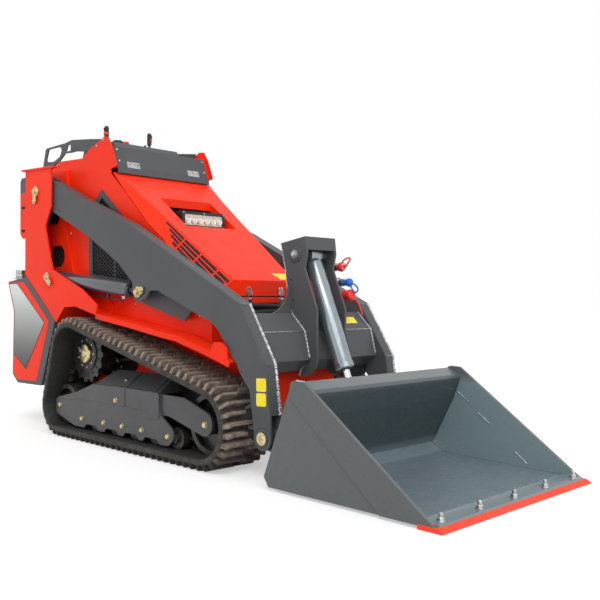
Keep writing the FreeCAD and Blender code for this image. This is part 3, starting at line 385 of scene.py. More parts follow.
# ---- piece builder ----
class Piece:
    """Mesh put together from several shapes, each with a material of its own, that rides on one body."""

    def __init__(self, name, body, slot):
        self.name, self.body, self.slot = name, body, slot
        self.mesh = bmesh.new()
        self.looks = []

    def look(self, key):
        if key not in self.looks:
            self.looks.append(key)
        return self.looks.index(key)

    def face(self, corners, index):
        try:
            made = self.mesh.faces.new(corners)
        except ValueError:
            return
        made.material_index = index

    def loft(self, rings, key, caps=True, loop=False):
        """Skin through rings of equal length; each ring is closed."""
        index = self.look(key)
        made = [[self.mesh.verts.new(p) for p in ring] for ring in rings]
        pairs = list(zip(made, made[1:])) + ([(made[-1], made[0])] if loop else [])
        for a, b in pairs:
            for i in range(len(a)):
                j = (i + 1) % len(a)
                self.face((a[i], a[j], b[j], b[i]), index)
        if caps and not loop:
            self.face(made[0][::-1], index)
            self.face(made[-1], index)

    def slab(self, corners, push, key, inset=0.0):
        """Flat outline in space pushed out by a vector; the far face may be drawn in by inset metres."""
        middle = sum(corners, Vector()) / len(corners)
        far = [p + push + (middle - p).normalized() * inset for p in corners]
        self.loft([corners, far], key)

    def plate(self, outline, y0, y1, key):
        """Plate with a station-height outline between two widths."""
        self.loft([[mm(x, y, z) for x, z in outline] for y in (y0, y1)], key)

    def block(self, x0, x1, y0, y1, z0, z1, key):
        self.plate([(x0, z0), (x1, z0), (x1, z1), (x0, z1)], y0, y1, key)

    def turn(self, foot, direction, profile, key, sides=24):
        """Round (or few-sided) shape about an axis: profile holds (radius, distance) in millimetres."""
        direction = Vector(direction).normalized()
        across = direction.orthogonal().normalized()
        up = direction.cross(across)
        rings = []
        for radius, distance in profile:
            ring = []
            for i in range(sides):
                angle = 2 * math.pi * i / sides
                out = (across * math.cos(angle) + up * math.sin(angle)) * radius / 1000
                ring.append(foot + direction * distance / 1000 + out)
            rings.append(ring)
        self.loft(rings, key)

    def bolt(self, foot, direction, size, key="gold", washer=True, domed=False):
        """Hexagon head on a washer; size is the thread in millimetres."""
        start = 0.0
        if washer:
            self.turn(foot, direction, [(size * 1.05, 0), (size * 1.05, 1.4), (size * 0.98, 1.8)], key)
            start = 1.8
        top = start + size * 0.62
        if domed:
            self.turn(foot, direction, [(size, start), (size * 0.95, start + size * 0.3),
                                        (size * 0.6, start + size * 0.5), (size * 0.1, top)], key)
        else:
            head = [(size * 0.92, start), (size * 0.92, top - 1.0), (size * 0.78, top)]
            self.turn(foot, direction, head, key, 6)

    def dome(self, foot, direction, size, key="zinc", washer=True):
        self.bolt(foot, direction, size, key, washer, domed=True)

    def tube(self, path, radius, key, sides=12, ripple=0.0):
        """Round bar along a path of points; a ripple swells every other ring, as on a weld bead."""
        rings = []
        for i, point in enumerate(path):
            ahead = path[min(i + 1, len(path) - 1)] - path[max(i - 1, 0)]
            ahead.normalize()
            side = ahead.cross(Vector((0, 0, 1)))
            if side.length < 0.05:
                side = ahead.cross(Vector((0, 1, 0)))
            side.normalize()
            up = side.cross(ahead)
            swell = radius * (1 + ripple * math.sin(i * 2.6) + ripple * 0.8 * math.sin(i * 1.13)) / 1000
            rings.append([point + (side * math.cos(t) + up * math.sin(t)) * swell
                          for t in (2 * math.pi * k / sides for k in range(sides))])
        self.loft(rings, key)

    def bead(self, start, end, radius, key="weld", pitch=3.0):
        """Weld bead with overlapping ripples between two points."""
        count = max(4, int((end - start).length * 1000 / pitch))
        self.tube([start.lerp(end, i / count) for i in range(count + 1)], radius, key, 8, 0.22)

    def seam(self, line, y, radius, key="weld", pitch=3.0, shift=(0, 0)):
        """Beads along a station-height line at one width."""
        spots = [mm(x + shift[0], y, z + shift[1]) for x, z in line]
        for start, end in zip(spots, spots[1:]):
            self.bead(start, end, radius, key, pitch)

    def finish(self, soften=0.8, replaces=(), smooth=32):
        bmesh.ops.recalc_face_normals(self.mesh, faces=self.mesh.faces)
        data = bpy.data.meshes.new(self.name)
        self.mesh.to_mesh(data)
        self.mesh.free()
        data.shade_smooth()
        data.set_sharp_from_angle(angle=math.radians(smooth))
        item = bpy.data.objects.new(self.name, data)
        bpy.context.scene.collection.objects.link(item)
        for key in self.looks:
            data.materials.append(M[key])
        if soften:
            soften_edges(item, soften, 35)
        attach(item, self.body)
        if replaces:
            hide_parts(*replaces)
        return item


# ---- tracks ----
LUG_PITCH = 91.2
BELT_BODY = 26.0
BELT_DEPTH = 55.0


def hull(points):
    """Convex outline of points in a plane, anticlockwise."""
    points = sorted(set(points))
    halves = []
    for ordered in (points, points[::-1]):
        half = []
        for p in ordered:
            while len(half) > 1 and ((half[-1][0] - half[-2][0]) * (p[1] - half[-2][1])
                                     - (half[-1][1] - half[-2][1]) * (p[0] - half[-2][0])) <= 0:
                half.pop()
            half.append(p)
        halves.append(half[:-1])
    return halves[0] + halves[1]


class Loop:
    """The belt's closed outline, walked by length."""

    def __init__(self, node):
        spots = [(round(v.co.x, 5), round(v.co.z, 5)) for v in NODES[node].data.vertices]
        self.points = [Vector(p) for p in hull(spots)]
        self.steps = [(b - a).length for a, b in zip(self.points, self.points[1:] + self.points[:1])]
        self.length = sum(self.steps) * 1000
        count = len(self.points)
        edges = [(self.points[(i + 1) % count] - self.points[i]).normalized() for i in range(count)]
        self.normals = []
        for i in range(count):
            along = (edges[i] + edges[i - 1]).normalized()
            self.normals.append(Vector((along.y, -along.x)))

    def at(self, distance, inset, y):
        """Point a number of millimetres along the outline, drawn in by inset, at width y."""
        left = (distance % self.length) / 1000
        for i, step in enumerate(self.steps):
            if left <= step:
                break
            left -= step
        j = (i + 1) % len(self.points)
        share = left / step
        point = self.points[i].lerp(self.points[j], share)
        normal = self.normals[i].lerp(self.normals[j], share).normalized()
        spot = point - normal * inset / 1000
        return Vector((spot.x, y / 1000, spot.y))


def build_belt(side, sign):
    """Belt body with moulded edges, cross lugs outside and guide lugs inside."""
    node = side + "_track"
    loop = Loop(node)
    low, high = node_box(node)
    y_in, y_out = (low[1], high[1]) if sign > 0 else (high[1], low[1])
    piece = Piece(side + "_belt", "chassis", "rubber")
    lug_count = round(loop.length / LUG_PITCH)
    pitch = loop.length / lug_count
    section = [(0, 50), (0, 30), (5, BELT_BODY), (275, BELT_BODY), (280, 30), (280, 50),
               (272, BELT_DEPTH), (8, BELT_DEPTH)]
    samples = lug_count * 6
    rings = [[loop.at(loop.length * i / samples, inset, y_in + sign * y) for y, inset in section]
             for i in range(samples)]
    piece.loft(rings, "rubber", loop=True)
    inner = piece.look("inner")
    for i, face in enumerate(piece.mesh.faces):
        if i % len(section) in (5, 6, 7):
            face.material_index = inner
    for k in range(lug_count):
        add_lugs(piece, loop, k * pitch, pitch, y_out, -sign)
    sprocket = [sum(pair) / 2 for pair in zip(*node_box(side + "_drive_sprocket"))]
    centre = mm(*sprocket)
    middle = (y_in + y_out) / 2
    pitch /= 2
    for k in range(lug_count * 2):
        spot = loop.at(k * pitch, BELT_DEPTH, middle)
        if (spot - Vector((centre.x, spot.y, centre.z))).length < 0.175:
            continue
        rings = []
        for inset, a, b in ((BELT_DEPTH - 2, 14, 15), (BELT_DEPTH + 21, 7, 8)):
            corners = ((-a, -b), (a, -b), (a, b), (-a, b))
            rings.append([loop.at(k * pitch + x, inset, middle + y) for x, y in corners])
        piece.loft(rings, "inner")
    piece.finish(soften=1.6, replaces=(node,), smooth=40)


def add_lugs(piece, loop, start, pitch, y_edge, inward):
    """One pitch of tread: long and short bars from each edge, staggered so that their ends interlock."""
    bars = ((0.0, 3, 170, 1), (0.5, 3, 122, 1), (0.25, 196, 277, -1), (0.75, 140, 277, -1))
    for share, near, far, way in bars:
        place = start + share * pitch
        outer, inner = (near, far) if way > 0 else (far, near)
        rings = []
        for inset, half, slope in ((BELT_BODY + 2, 11.5, 0.0), (3.0, 8.0, 11.0), (0.3, 6.5, 14.0)):
            edge, end = outer + way * slope, inner - way * slope * 0.3
            base = [(-half - 7, edge), (half - 9, edge), (half, edge + way * 26), (half, end - way * 5),
                    (half - 4, end), (4 - half, end), (-half, end - way * 5), (-half, edge + way * 30)]
            rings.append([loop.at(place + a, inset, y_edge + inward * b) for a, b in base])
        piece.loft(rings, "lug")


def winding(outline):
    """1 for an anticlockwise outline, -1 for a clockwise one."""
    area = sum(a[0] * b[1] - b[0] * a[1] for a, b in zip(outline, outline[1:] + outline[:1]))
    return 1 if area > 0 else -1


def clipped(outline, point, direction):
    """Part of the line through point along direction that lies inside a convex outline, or None."""
    sign = winding(outline)
    low, high = -1e6, 1e6
    for a, b in zip(outline, outline[1:] + outline[:1]):
        edge = Vector(b) - Vector(a)
        normal = square_to(edge) * sign
        gap = normal.dot(Vector(point) - Vector(a))
        rate = normal.dot(Vector(direction))
        if abs(rate) < 1e-9:
            if gap < 0:
                return None
        elif rate > 0:
            low = max(low, -gap / rate)
        else:
            high = min(high, -gap / rate)
    return (low, high) if high - low > 1 else None


def drawn_in(outline, distance):
    """Convex outline moved inwards by a distance."""
    sign = winding(outline)
    moved = []
    for i, corner in enumerate(outline):
        before = (Vector(corner) - Vector(outline[i - 1])).normalized()
        after = (Vector(outline[(i + 1) % len(outline)]) - Vector(corner)).normalized()
        n = (square_to(before) + square_to(after)) * sign / 2
        moved.append(tuple(Vector(corner) + n * distance / n.length_squared))
    return moved


def ring_frame(piece, outer, inner, y0, y1, key):
    """Flat frame between two outlines with the same number of corners."""
    turns = ((outer, y0), (outer, y1), (inner, y1), (inner, y0))
    piece.loft([[mm(x, y, z) for x, z in line] for line, y in turns], key, loop=True)


def oblong(half, bottom, top):
    """Outline in the width-height plane about the centre plane."""
    return [(-half, bottom), (half, bottom), (half, top), (-half, top)]


def facing_frame(piece, key, *turns):
    """Frame that faces along the machine, through outlines in the width-height plane at stations."""
    piece.loft([[mm(x, y, z) for y, z in line] for line, x in turns], key, loop=True)


# ---- body ----
HUB = (-690, 430)
LIFT_BASE, LIFT_EYE, LIFT_MIDDLE = (-1001, 831), (-180, 745), 382.5
POST_PIVOT = (-1130, 1308)
PANEL_FACE, PLATE_FACE, POST_FACE = 324, 326, 443
LEVER_X = -869
PLATFORM_TOP = 260.0
MESH_PITCH, GRILLE_MIDDLE = 17, (-560, 1030)
GRILLE = [(-638, 1284), (-391, 1084), (-364, 765), (-763, 812), (-763, 1183)]


def build_grilles():
    """Expanded-metal mesh in a dark frame on each side, with an upright behind it."""
    piece = Piece("grille_mesh", "chassis", "black_plastic")
    opening = drawn_in(GRILLE, 34)
    for _, s in SIDES:
        ring_frame(piece, drawn_in(GRILLE, 0.5), opening, s * 318.5, s * 323.2, "arm")
        ring_frame(piece, drawn_in(GRILLE, 30), drawn_in(GRILLE, 38), s * 317.5, s * 321, "plastic")
        for lean in (34, -34):
            run = heading(lean)
            across = square_to(run)
            middle = Vector(GRILLE_MIDDLE)
            for k in range(-20, 21):
                point = middle + across * k * MESH_PITCH
                span = clipped(opening, point, run)
                if not span:
                    continue
                ends = [point + run * t for t in span]
                width = across * 2.3
                corners = [ends[0] - width, ends[1] - width, ends[1] + width, ends[0] + width]
                depth = (316.4, 317.6) if lean > 0 else (317.2, 318.4)
                piece.plate([tuple(c) for c in corners], s * depth[0], s * depth[1], "plastic")
        piece.plate(drawn_in(GRILLE, 18), s * 296, s * 300, "dark")
        for k in range(24):
            span = clipped(opening, (-740 + 16 * k, 900), (0, 1))
            if span:
                x, y0, y1 = -740 + 16 * k, *sorted((s * 300, s * 306))
                piece.block(x - 1, x + 1, y0, y1, 900 + span[0], 900 + span[1], "dark")
        span = clipped(opening, (-530, 900), (0, 1))
        piece.block(-538, -522, *sorted((s * 312, s * 317)), 900 + span[0], 900 + span[1], "arm")
    piece.finish(soften=0, replaces=("side_grilles",))


def name_plate_spot(share, y, lift=0.0):
    """Point on the name plate's front face, from its foot (0) to its top (1)."""
    foot, top = Vector((-526, 1388)), Vector((-567, 1502))
    spot = foot.lerp(top, share) + Vector((0.941, 0.338)) * lift
    return mm(spot.x, y, spot.y)


PLATE_OUT = (0.941, 0, 0.338)


def build_top_fittings():
    """Bolts and upper hinge leaves on the name plate, the skirt under it, and the cheeks' bolts."""
    piece = Piece("top_fittings", "chassis", "zinc_steel")
    for _, s in SIDES:
        for share in (0.3, 0.84):
            piece.dome(name_plate_spot(share, s * 284), PLATE_OUT, 6)
        corners = [name_plate_spot(share, y) for share, y in
                   ((0.0, s * 160), (0.0, s * 240), (0.30, s * 240), (0.30, s * 160))]
        piece.slab(corners, Vector(PLATE_OUT) * 0.0025, "zinc")
        for y in (172, 198, 224):
            piece.dome(name_plate_spot(0.19, s * y, 2.5), PLATE_OUT, 5, "bare", washer=False)
        piece.plate([(-527, 1390), (-521, 1390), (-515, 1357), (-521, 1355)], s * 0.5, s * 303, "arm")
        for x, z in ((-625, 1538), (-687, 1514), (-1190, 1436), (-1090, 1462)):
            piece.dome(mm(x, s * PANEL_FACE, z), (0, s, 0), 6)
    piece.finish(soften=0.4)


def build_console():
    """Instrument panel, switches, lever boots and the lever bands."""
    piece = Piece("console_fittings", "chassis", "black_plastic")
    top = node_box("control_pod")[1][2]
    piece.block(-978, -775, -112, 112, top, top + 3, "grip")
    piece.turn(mm(-925, 62, top + 3), UP, [(31, 0), (31, 5), (27, 6.5), (26, 4.2)], "plastic", 36)
    piece.turn(mm(-925, 62, top + 7.4), UP, [(25, 0), (25, 0.6)], "lens", 36)
    for mark in range(7):
        spot = heading(-30 + mark * 40).to_3d() * 0.02
        piece.turn(mm(-925, 62, top + 8) + spot, UP, [(1.5, 0), (1.5, 0.4)], "dark", 8)
    piece.block(-955, -895, -88, 8, top + 3, top + 8, "plastic")
    piece.block(-949, -901, -80, 0, top + 8, top + 8.6, "dark")
    for k in range(4):
        y = -80 + k * 34
        piece.loft([[mm(x, y + b, z) for x, b in ((-868, -9), (-836, -9), (-836, 9), (-868, 9))]
                    for z in (top + 3, top + 7)] +
                   [[mm(-864, y - 7, top + 7), mm(-840, y - 7, top + 12), mm(-840, y + 7, top + 12),
                     mm(-864, y + 7, top + 7)]], "plastic")
    piece.turn(mm(-805, 70, top + 3), UP, [(13, 0), (13, 6), (9, 7)], "zinc", 28)
    piece.block(-815, -795, 68.4, 71.6, top + 10, top + 30, "plastic")
    piece.turn(mm(-805, -62, top + 3), UP, [(16, 0), (16, 4), (9, 6), (9, 16), (19, 18), (19, 25), (15, 29)],
               "red_plastic", 32)
    high = node_box("control_levers")[1]
    for _, s in SIDES:
        foot = mm(LEVER_X, s * 150, top)
        boot = [(30, 0), (30, 5), (22, 9), (24, 13), (17, 18), (19, 22), (12, 28), (14, 32), (8, 38)]
        piece.turn(foot, UP, boot, "grip", 28)
        band = [(13.2, 0), (13.7, 1), (13.7, 15), (13.2, 16)]
        piece.turn(mm(LEVER_X, s * 150, high[2] - 52), UP, band, "red_plastic")
        for k in range(4):
            rib = [(13.1, 0), (13.5, 0.8), (13.5, 2.2), (13.1, 3)]
            piece.turn(mm(LEVER_X, s * 150, high[2] - 31 + k * 5), UP, rib, "plastic")
    piece.turn(mm(-755, -150, top + 14), UP, [(26, 0), (24, 5), (6, 6), (5, 9)], "plastic", 32)
    piece.finish(soften=0.5)


def keeper(piece, x, z, y, s, length, width, lean, key):
    """Flat keeper strip with rounded ends over a pin, leaning by an angle, and a bolt at its far end."""
    run = heading(lean)
    across = square_to(run)
    line = []
    for end, turn in ((0.0, 90), (length, -90)):
        for k in range(7):
            round_end = heading(turn + 30 * k)
            local = run * round_end.x + across * round_end.y
            spot = Vector((x, z)) + run * end + local * width / 2
            line.append(tuple(spot))
    piece.plate(line, y, y + s * 5, key)
    far = Vector((x, z)) + run * length
    piece.bolt(mm(x, y + s * 5, z), (0, s, 0), width * 0.42, key)
    piece.bolt(mm(far.x, y + s * 5, far.y), (0, s, 0), width * 0.27, key)


def build_post_fittings():
    """Keepers on the post's pins, weld beads on its plates, and panel bolts."""
    piece = Piece("post_fittings", "chassis", "zinc_steel")
    for _, s in SIDES:
        keeper(piece, *POST_PIVOT, s * POST_FACE, s, 52, 34, -96, "gold")
        keeper(piece, *LIFT_BASE, s * POST_FACE, s, 46, 32, -42, "gold")
        piece.seam(((-969, 1118), (-925, 930)), s * PLATE_FACE, 4.5, "body", 5)
        piece.seam(((-1245, 900), (-1245, 1370)), s * 337, 4.0, "body", 5)
        for x, z in ((-944, 1072), (-330, 690), (160, 640)):
            piece.dome(mm(x, s * PANEL_FACE, z), (0, s, 0), 6)
    piece.finish(soften=0.5)


def build_shade_sheets():
    """Painted shade: dark sheets behind the post openings and dark plates beside the posts, where shade
    falls; and guards at the drive motors.
    """
    for side, s in SIDES:
        piece = Piece(side + "_shade_sheet", "chassis", "rubber")
        outline = [(-1205, 880), (-960, 880), (-960, 1030), (-1000, 1080), (-1000, 1300), (-1205, 1300)]
        # Painted shade: a dark sheet behind the post opening, for the shade inside the post.
        piece.plate(outline, s * 312, s * 316, "dark")
        # Painted shade: a dark rounded sheet where the arm's heel lies in shade between the post plates.
        heel_shade = [(-1205, 1250), (-1205, 1170), (-1190, 1138), (-1160, 1121), (-1132, 1121), (-1102, 1138),
                (-1088, 1170), (-1088, 1235)]
        piece.plate(heel_shade, s * 335.9, s * 337.2, "dark")
        piece.plate(drawn_in(heel_shade, 9), s * 337.2, s * 338.6, "dark")
        # Painted shade: a dark sheet for the shadow between the post's top and the arm's rear end.
        corner = [(-1165, 1425), (-1060, 1425), (-1100, 1385), (-1115, 1350), (-1165, 1350)]
        piece.plate(corner, s * 325.2, s * 326.4, "dark")
        for z in (1040, 1065, 1090):
            piece.tube(mms((-1195, s * 316, z), (-1100, s * 317, z), (-1005, s * 316, z)), 3.0, "dark", 10)
        piece.finish(soften=0.5)
        guard = Piece(side + "_motor_guard", "chassis", "black_paint")
        outline = [(-1000, 300), (-540, 300), (-470, 360), (-470, 470), (-560, 560), (-905, 560),
                   (-1000, 470)]
        guard.plate(outline, s * 212.5, s * 216.5, "black")
        for spot in on_circle(8, 105):
            guard.bolt(mm(HUB[0], s * 216.5, HUB[1]) + spot, (0, s, 0), 8, "zinc")
        for z in (468, 396):
            path = mms((-600, s * 250, z), (-540, s * 252, z + 4), (-470, s * 244, z + 14),
                       (-420, s * 226, z + 22), (-400, s * 214, z + 24))
            guard.tube(path, 11, "grip", 18)
            guard.turn(mm(-604, s * 250, z), (1, 0, 0), [(15, 0), (15, 16), (12, 18), (12, 30)], "zinc", 6)
        guard.finish(soften=0.6)


def build_fender_lugs():
    """Welded guard lug on each fender beside the arm's foot."""
    piece = Piece("fender_lugs", "chassis", "body_paint")
    for _, s in SIDES:
        lug = [(358, 492), (371, 524), (384, 534), (424, 534), (457, 512), (461, 464)]
        piece.plate(lug, s * 425, s * 433, "body")
        piece.seam(((346, 496), (448, 469)), s * 424, 3.0, "body")
    piece.finish(soften=1.2)


def build_housing():
    """Slatted cooling grille, seals and two grab rails on the rear housing."""
    low, high = node_box("rear_housing")
    rear, half = low[0], high[1]
    piece = Piece("rear_grille", "chassis", "black_plastic")
    outer, inner = oblong(290, 1112, 1312), oblong(268, 1134, 1290)
    facing_frame(piece, "plastic", (outer, rear), (outer, rear - 7), (inner, rear - 7), (inner, rear))
    piece.block(rear - 1, rear, -268, 268, 1134, 1290, "dark")
    for k in range(11):
        z = 1141 + k * 14
        corners = mms((rear - 1, -268, z), (rear - 1, 268, z), (rear - 6, 268, z - 6),
                      (rear - 6, -268, z - 6))
        piece.slab(corners, Vector((-0.0006, 0, 0.0018)), "plastic")
    for y in (-134, 0, 134):
        piece.block(rear - 6.5, rear - 1, y - 4, y + 4, 1134, 1290, "plastic")
    for y, z in ((-280, 1123), (280, 1123), (-280, 1301), (280, 1301)):
        piece.dome(mm(rear - 7, y, z), (-1, 0, 0), 6)
    piece.finish(soften=0.6)
    seals = Piece("housing_seals", "chassis", "rubber")
    for z in (1106, 1240):
        for _, s in SIDES:
            seals.block(rear + 24, -1262, *sorted((s * (half - 1), s * (half + 2.5))), z - 7, z + 7, "dark")
            seals.dome(mm(-1290, s * (half + 2.5), z), (0, s, 0), 6)
    seals.finish(soften=1.0)
    rail = Piece("grab_rail", "chassis", "black_paint")
    path = [mm(rear - back, -340, z) for back, z in
            ((2, 1180), (26, 1190), (32, 1204), (32, 1330), (26, 1346), (2, 1356))]
    rail.tube(path, 8, "black", 16)
    rail.tube([Vector((p.x, -p.y, p.z)) for p in path], 8, "black", 16)
    rail.finish(soften=0)


def build_tanks():
    """Red skin and fading film on each tank's outer face, and the filler caps with their rings."""
    skin = [(-1457, 808), (-1268, 808), (-984, 590), (-1118, 257), (-1342, 250), (-1397, 288), (-1385, 646)]
    decal = [(-1450, 803), (-1347, 803), (-1027, 584), (-1238, 314), (-1388, 394), (-1378, 646)]
    for side, s in SIDES:
        face = outer_face(side + "_tank", s)
        piece = Piece(side + "_tank_film", "chassis", "body_paint")
        piece.plate(skin, face - s * 0.5, face + s * 1.0, "body")
        piece.plate(decal, face + s * 1.0, face + s * 1.4, "dark")
        piece.plate(drawn_in(decal, 4), face + s * 1.4, face + s * 1.9, "decal")
        piece.finish(soften=0.3)
    caps = Piece("filler_caps", "chassis", "zinc_steel")
    top = node_box("tank_caps")[1][2]
    for _, s in SIDES:
        foot = mm(-1410, s * 381, top - 40)
        caps.turn(foot, UP, [(30.5, 0), (33, 2), (33, 15), (30.5, 17)], "zinc", 40)
        caps.turn(foot, UP, [(30.4, 17), (31.5, 19), (31.5, 37), (28, 39.6)], "zinc", 20)
        caps.turn(mm(-1410, s * 381, top - 50), UP, [(45, 0), (45, 5), (34, 7), (31, 10)], "zinc", 40)
    caps.finish(soften=0.6)


def build_platform():
    """Raised tread lozenges and a rubber edge on the standing platform."""
    low, high = node_box("platform")
    piece = Piece("platform_tread", "platform", "black_paint")
    for i in range(12):
        for j in range(12):
            x, y = -1668 + i * 27, -176 + j * 32
            run = heading(45 if (i + j) % 2 else -45)
            side = square_to(run)
            base = (run * 13, side * 3.6, run * -13, side * -3.6)
            piece.loft([[mm(x + b.x * k, y + b.y * k, z) for b in base]
                        for k, z in ((1, PLATFORM_TOP - 0.2), (0.72, PLATFORM_TOP + 1.8))], "black")
    piece.finish(soften=0)
    edge = Piece("platform_edge", "platform", "rubber")
    edge.block(low[0], low[0] + 12, low[1] + 1, high[1] - 1, 236, 262.5, "rubber")
    for k in range(6):
        y = low[1] + 30 + k * 68
        edge.dome(mm(low[0] + 22, y, PLATFORM_TOP), UP, 6)
    edge.finish(soften=2.0)


def build_engine():
    """Engine dressing on the block under the hood: covers, filters, muffler, pulleys and belt."""
    piece = Piece("engine_dressing", "chassis", "engine_iron")
    rings = []
    for z, d in ((849, 0), (895, 0), (915, 14)):
        rings.append(mms((-540 + d, -130 + d, z), (-170 - d, -130 + d, z), (-170 - d, -10 - d, z),
                         (-540 + d, -10 - d, z)))
    piece.loft(rings, "black")
    for x in (-500, -355, -210):
        piece.bolt(mm(x, -70, 914), UP, 8, "zinc")
    cleaner = [(20, 0), (20, 30), (78, 32), (78, 108), (70, 116), (20, 118), (14, 126)]
    piece.turn(mm(-455, 80, 849), UP, cleaner, "plastic", 48)
    piece.turn(mm(-560, 40, 905), FORWARD, [(10, 0), (42, 6), (42, 60), (38, 66)], "red_plastic", 36)
    piece.turn(mm(-330, 95, 880), FORWARD, [(20, 0), (50, 8), (50, 190), (44, 198), (16, 202)], "iron", 40)
    pipe = mms((-135, 95, 880), (-110, 95, 880), (-98, 92, 868), (-92, 90, 848), (-92, 88, 780))
    piece.tube(pipe, 16, "iron", 20)
    for y, z, r in ((-60, 480, 70), (70, 560, 45), (-20, 740, 52)):
        pulley = [(r, 0), (r, 6), (r * 0.8, 9), (r * 0.8, 16), (r, 19), (r, 25), (r * 0.3, 27), (r * 0.3, 33)]
        piece.turn(mm(-90, y, z), FORWARD, pulley, "black", 40)
    belt = [(-126, 470), (-70, 755), (15, 772), (108, 585), (88, 520), (0, 430), (-70, 415)]
    path = [mm(-78, y, z) for y, z in belt]
    piece.tube(path + path[:1], 5, "grip", 8)
    for y, z in ((-150, 620), (-150, 500)):
        piece.turn(mm(-260, y - 36, z), (0, -1, 0), [(30, 0), (34, 6), (34, 50), (28, 56)], "plastic", 32)
    for x in (-560, -420, -280, -140):
        for y in (-196, 188):
            piece.block(x, x + 22, y, y + 8, 430, 830, "iron")
    piece.finish(soften=1.2)


# ---- track frames ----
def build_track_fittings():
    """Cover plates and bolts on each track frame, and the drive's hub cap with its bolts."""
    bolts = ((-812, 160), (-600, 110), (-401, 112), (-243, 113), (-86, 114), (108, 109), (-294, 230))
    for side, s in SIDES:
        face = outer_face(side + "_track_frame", s)
        piece = Piece(side + "_frame_fittings", "chassis", "arm_paint")
        piece.plate([(-212, 296), (34, 293), (44, 284), (44, 176), (-38, 176), (-38, 200), (-212, 214)],
                    face, face + s * 3.5, "cover")
        rear = [(-856, 186), (-830, 199), (-647, 241), (-600, 257), (-499, 290), (-222, 294), (-222, 210),
                (-640, 204)]
        piece.plate(rear, face, face + s * 2.0, "cover")
        for x, z in bolts:
            piece.bolt(mm(x, face + s * (2.0 if z > 200 else 0), z), (0, s, 0), 12, "gold")
        piece.bolt(mm(348, face - s * 10, 187), (0, s, 0), 13, "gold")
        piece.dome(mm(-283, s * 412, 323), (0, s * 0.635, 0.772), 9)
        for x in (-222, 4):
            seam = mms((x, face + s * 0.2, 206), (x, face + s * 0.2, 294), (x, s * 452, 297),
                       (x, s * 364, 364))
            piece.tube(seam, 1.6, "dark", 8)
        piece.finish(soften=0.9)
        out = (0, s, 0)
        hub = Piece(side + "_hub_fittings", "chassis", "zinc_steel")
        centre = mm(HUB[0], outer_face(side + "_drive_sprocket", s) - s * 8, HUB[1])
        cap = [(51.6, 0), (51.6, 8.5), (48, 14), (40, 16.5), (24, 17.5), (22, 21), (14, 23), (3, 24)]
        hub.turn(centre, out, cap, "gold", 48)
        hub.turn(centre + Vector((-0.026, s * 0.0165, 0.014)), out, [(10, 0), (10, 5), (7, 6.5)], "zinc", 6)
        for spot in on_circle(9, 72):
            hub.bolt(centre + spot, out, 7, "zinc", washer=False)
        for spot in on_circle(15, 112, 0.5):
            hub.turn(mm(HUB[0], s * 379, HUB[1]) + spot, out, [(8.5, 0), (8.5, 0.6)], "dark", 20)
        hub.finish(soften=0.6)


# ---- boom ----
BUCKET_PIN, ARM_FACE = (652, 165), 415
ARM_TOP = [(-987, 1355), (-700, 1233), (-578, 1190), (-264, 1069), (167, 863), (519, 693), (666, 457),
           (694, 258)]


def build_arm_fittings():
    """Weld beads along the arms' closing plates, the thick one's bright colour a painted highlight, blank
    yellow films, keepers and pin bolts.
    """
    for side, s in SIDES:
        piece = Piece(side + "_arm_fittings", "boom", "zinc_steel")
        # Painted highlight: both arms carry the thick bright bead on their +Y edge, where the highlight
        # falls; the bead is real, its bright colour is painted highlight. The other edge gets a thin bead in
        # arm grey.
        highlight_bead_y, plain = (359, 406) if s < 0 else (406, 359)
        for y, key, radius in ((highlight_bead_y, "weld", 6.6), (plain, "arm", 2.0)):
            piece.seam(ARM_TOP[5:], s * y, radius, key, 5, (0, -1))
            piece.seam(ARM_TOP[:6], s * y, 2.4, "arm", 5, (0, -1.5))
        for x, z in ((519, 693), (666, 457)):
            piece.bead(mm(x, s * 360, z - 1), mm(x, s * 405, z - 1), 2.2, "bare", 4)
        keeper(piece, *LIFT_EYE, s * 423, s, 34, 36, 12, "gold")
        piece.bolt(mm(-190, s * 420, 728), (0, s, 0), 8, "gold")
        x, z = BUCKET_PIN
        piece.turn(mm(x, s * 422, z), (0, s, 0), [(12, 0), (12, 2), (5, 3), (4, 8), (2, 9)], "gold", 20)
        boss = [mm(x, s * ARM_FACE, z) + spot for spot in on_circle(24, 46)]
        for a, b in zip(boss, boss[1:] + boss[:1]):
            piece.bead(a, b, 2.6, "arm", 3)
        piece.finish(soften=0.4)
        film = Piece(side + "_arm_films", "boom", "arm_paint")
        for z0, z1 in ((290, 344), (348, 402)):
            outline = [(617, z0 + 5), (622, z0), (667, z0 + 2), (672, z0 + 7), (671, z1 - 5), (666, z1),
                       (621, z1 - 2), (616, z1 - 7)]
            film.plate(outline, s * ARM_FACE, s * (ARM_FACE + 0.4), "yellow")
        film.finish(soften=0)


CROSS_TOP = [(507.5, 653.5), (583.9, 577.1), (611.5, 466)]
TILT_PIN, TILT_EYE = (528, 905), (768, 303)


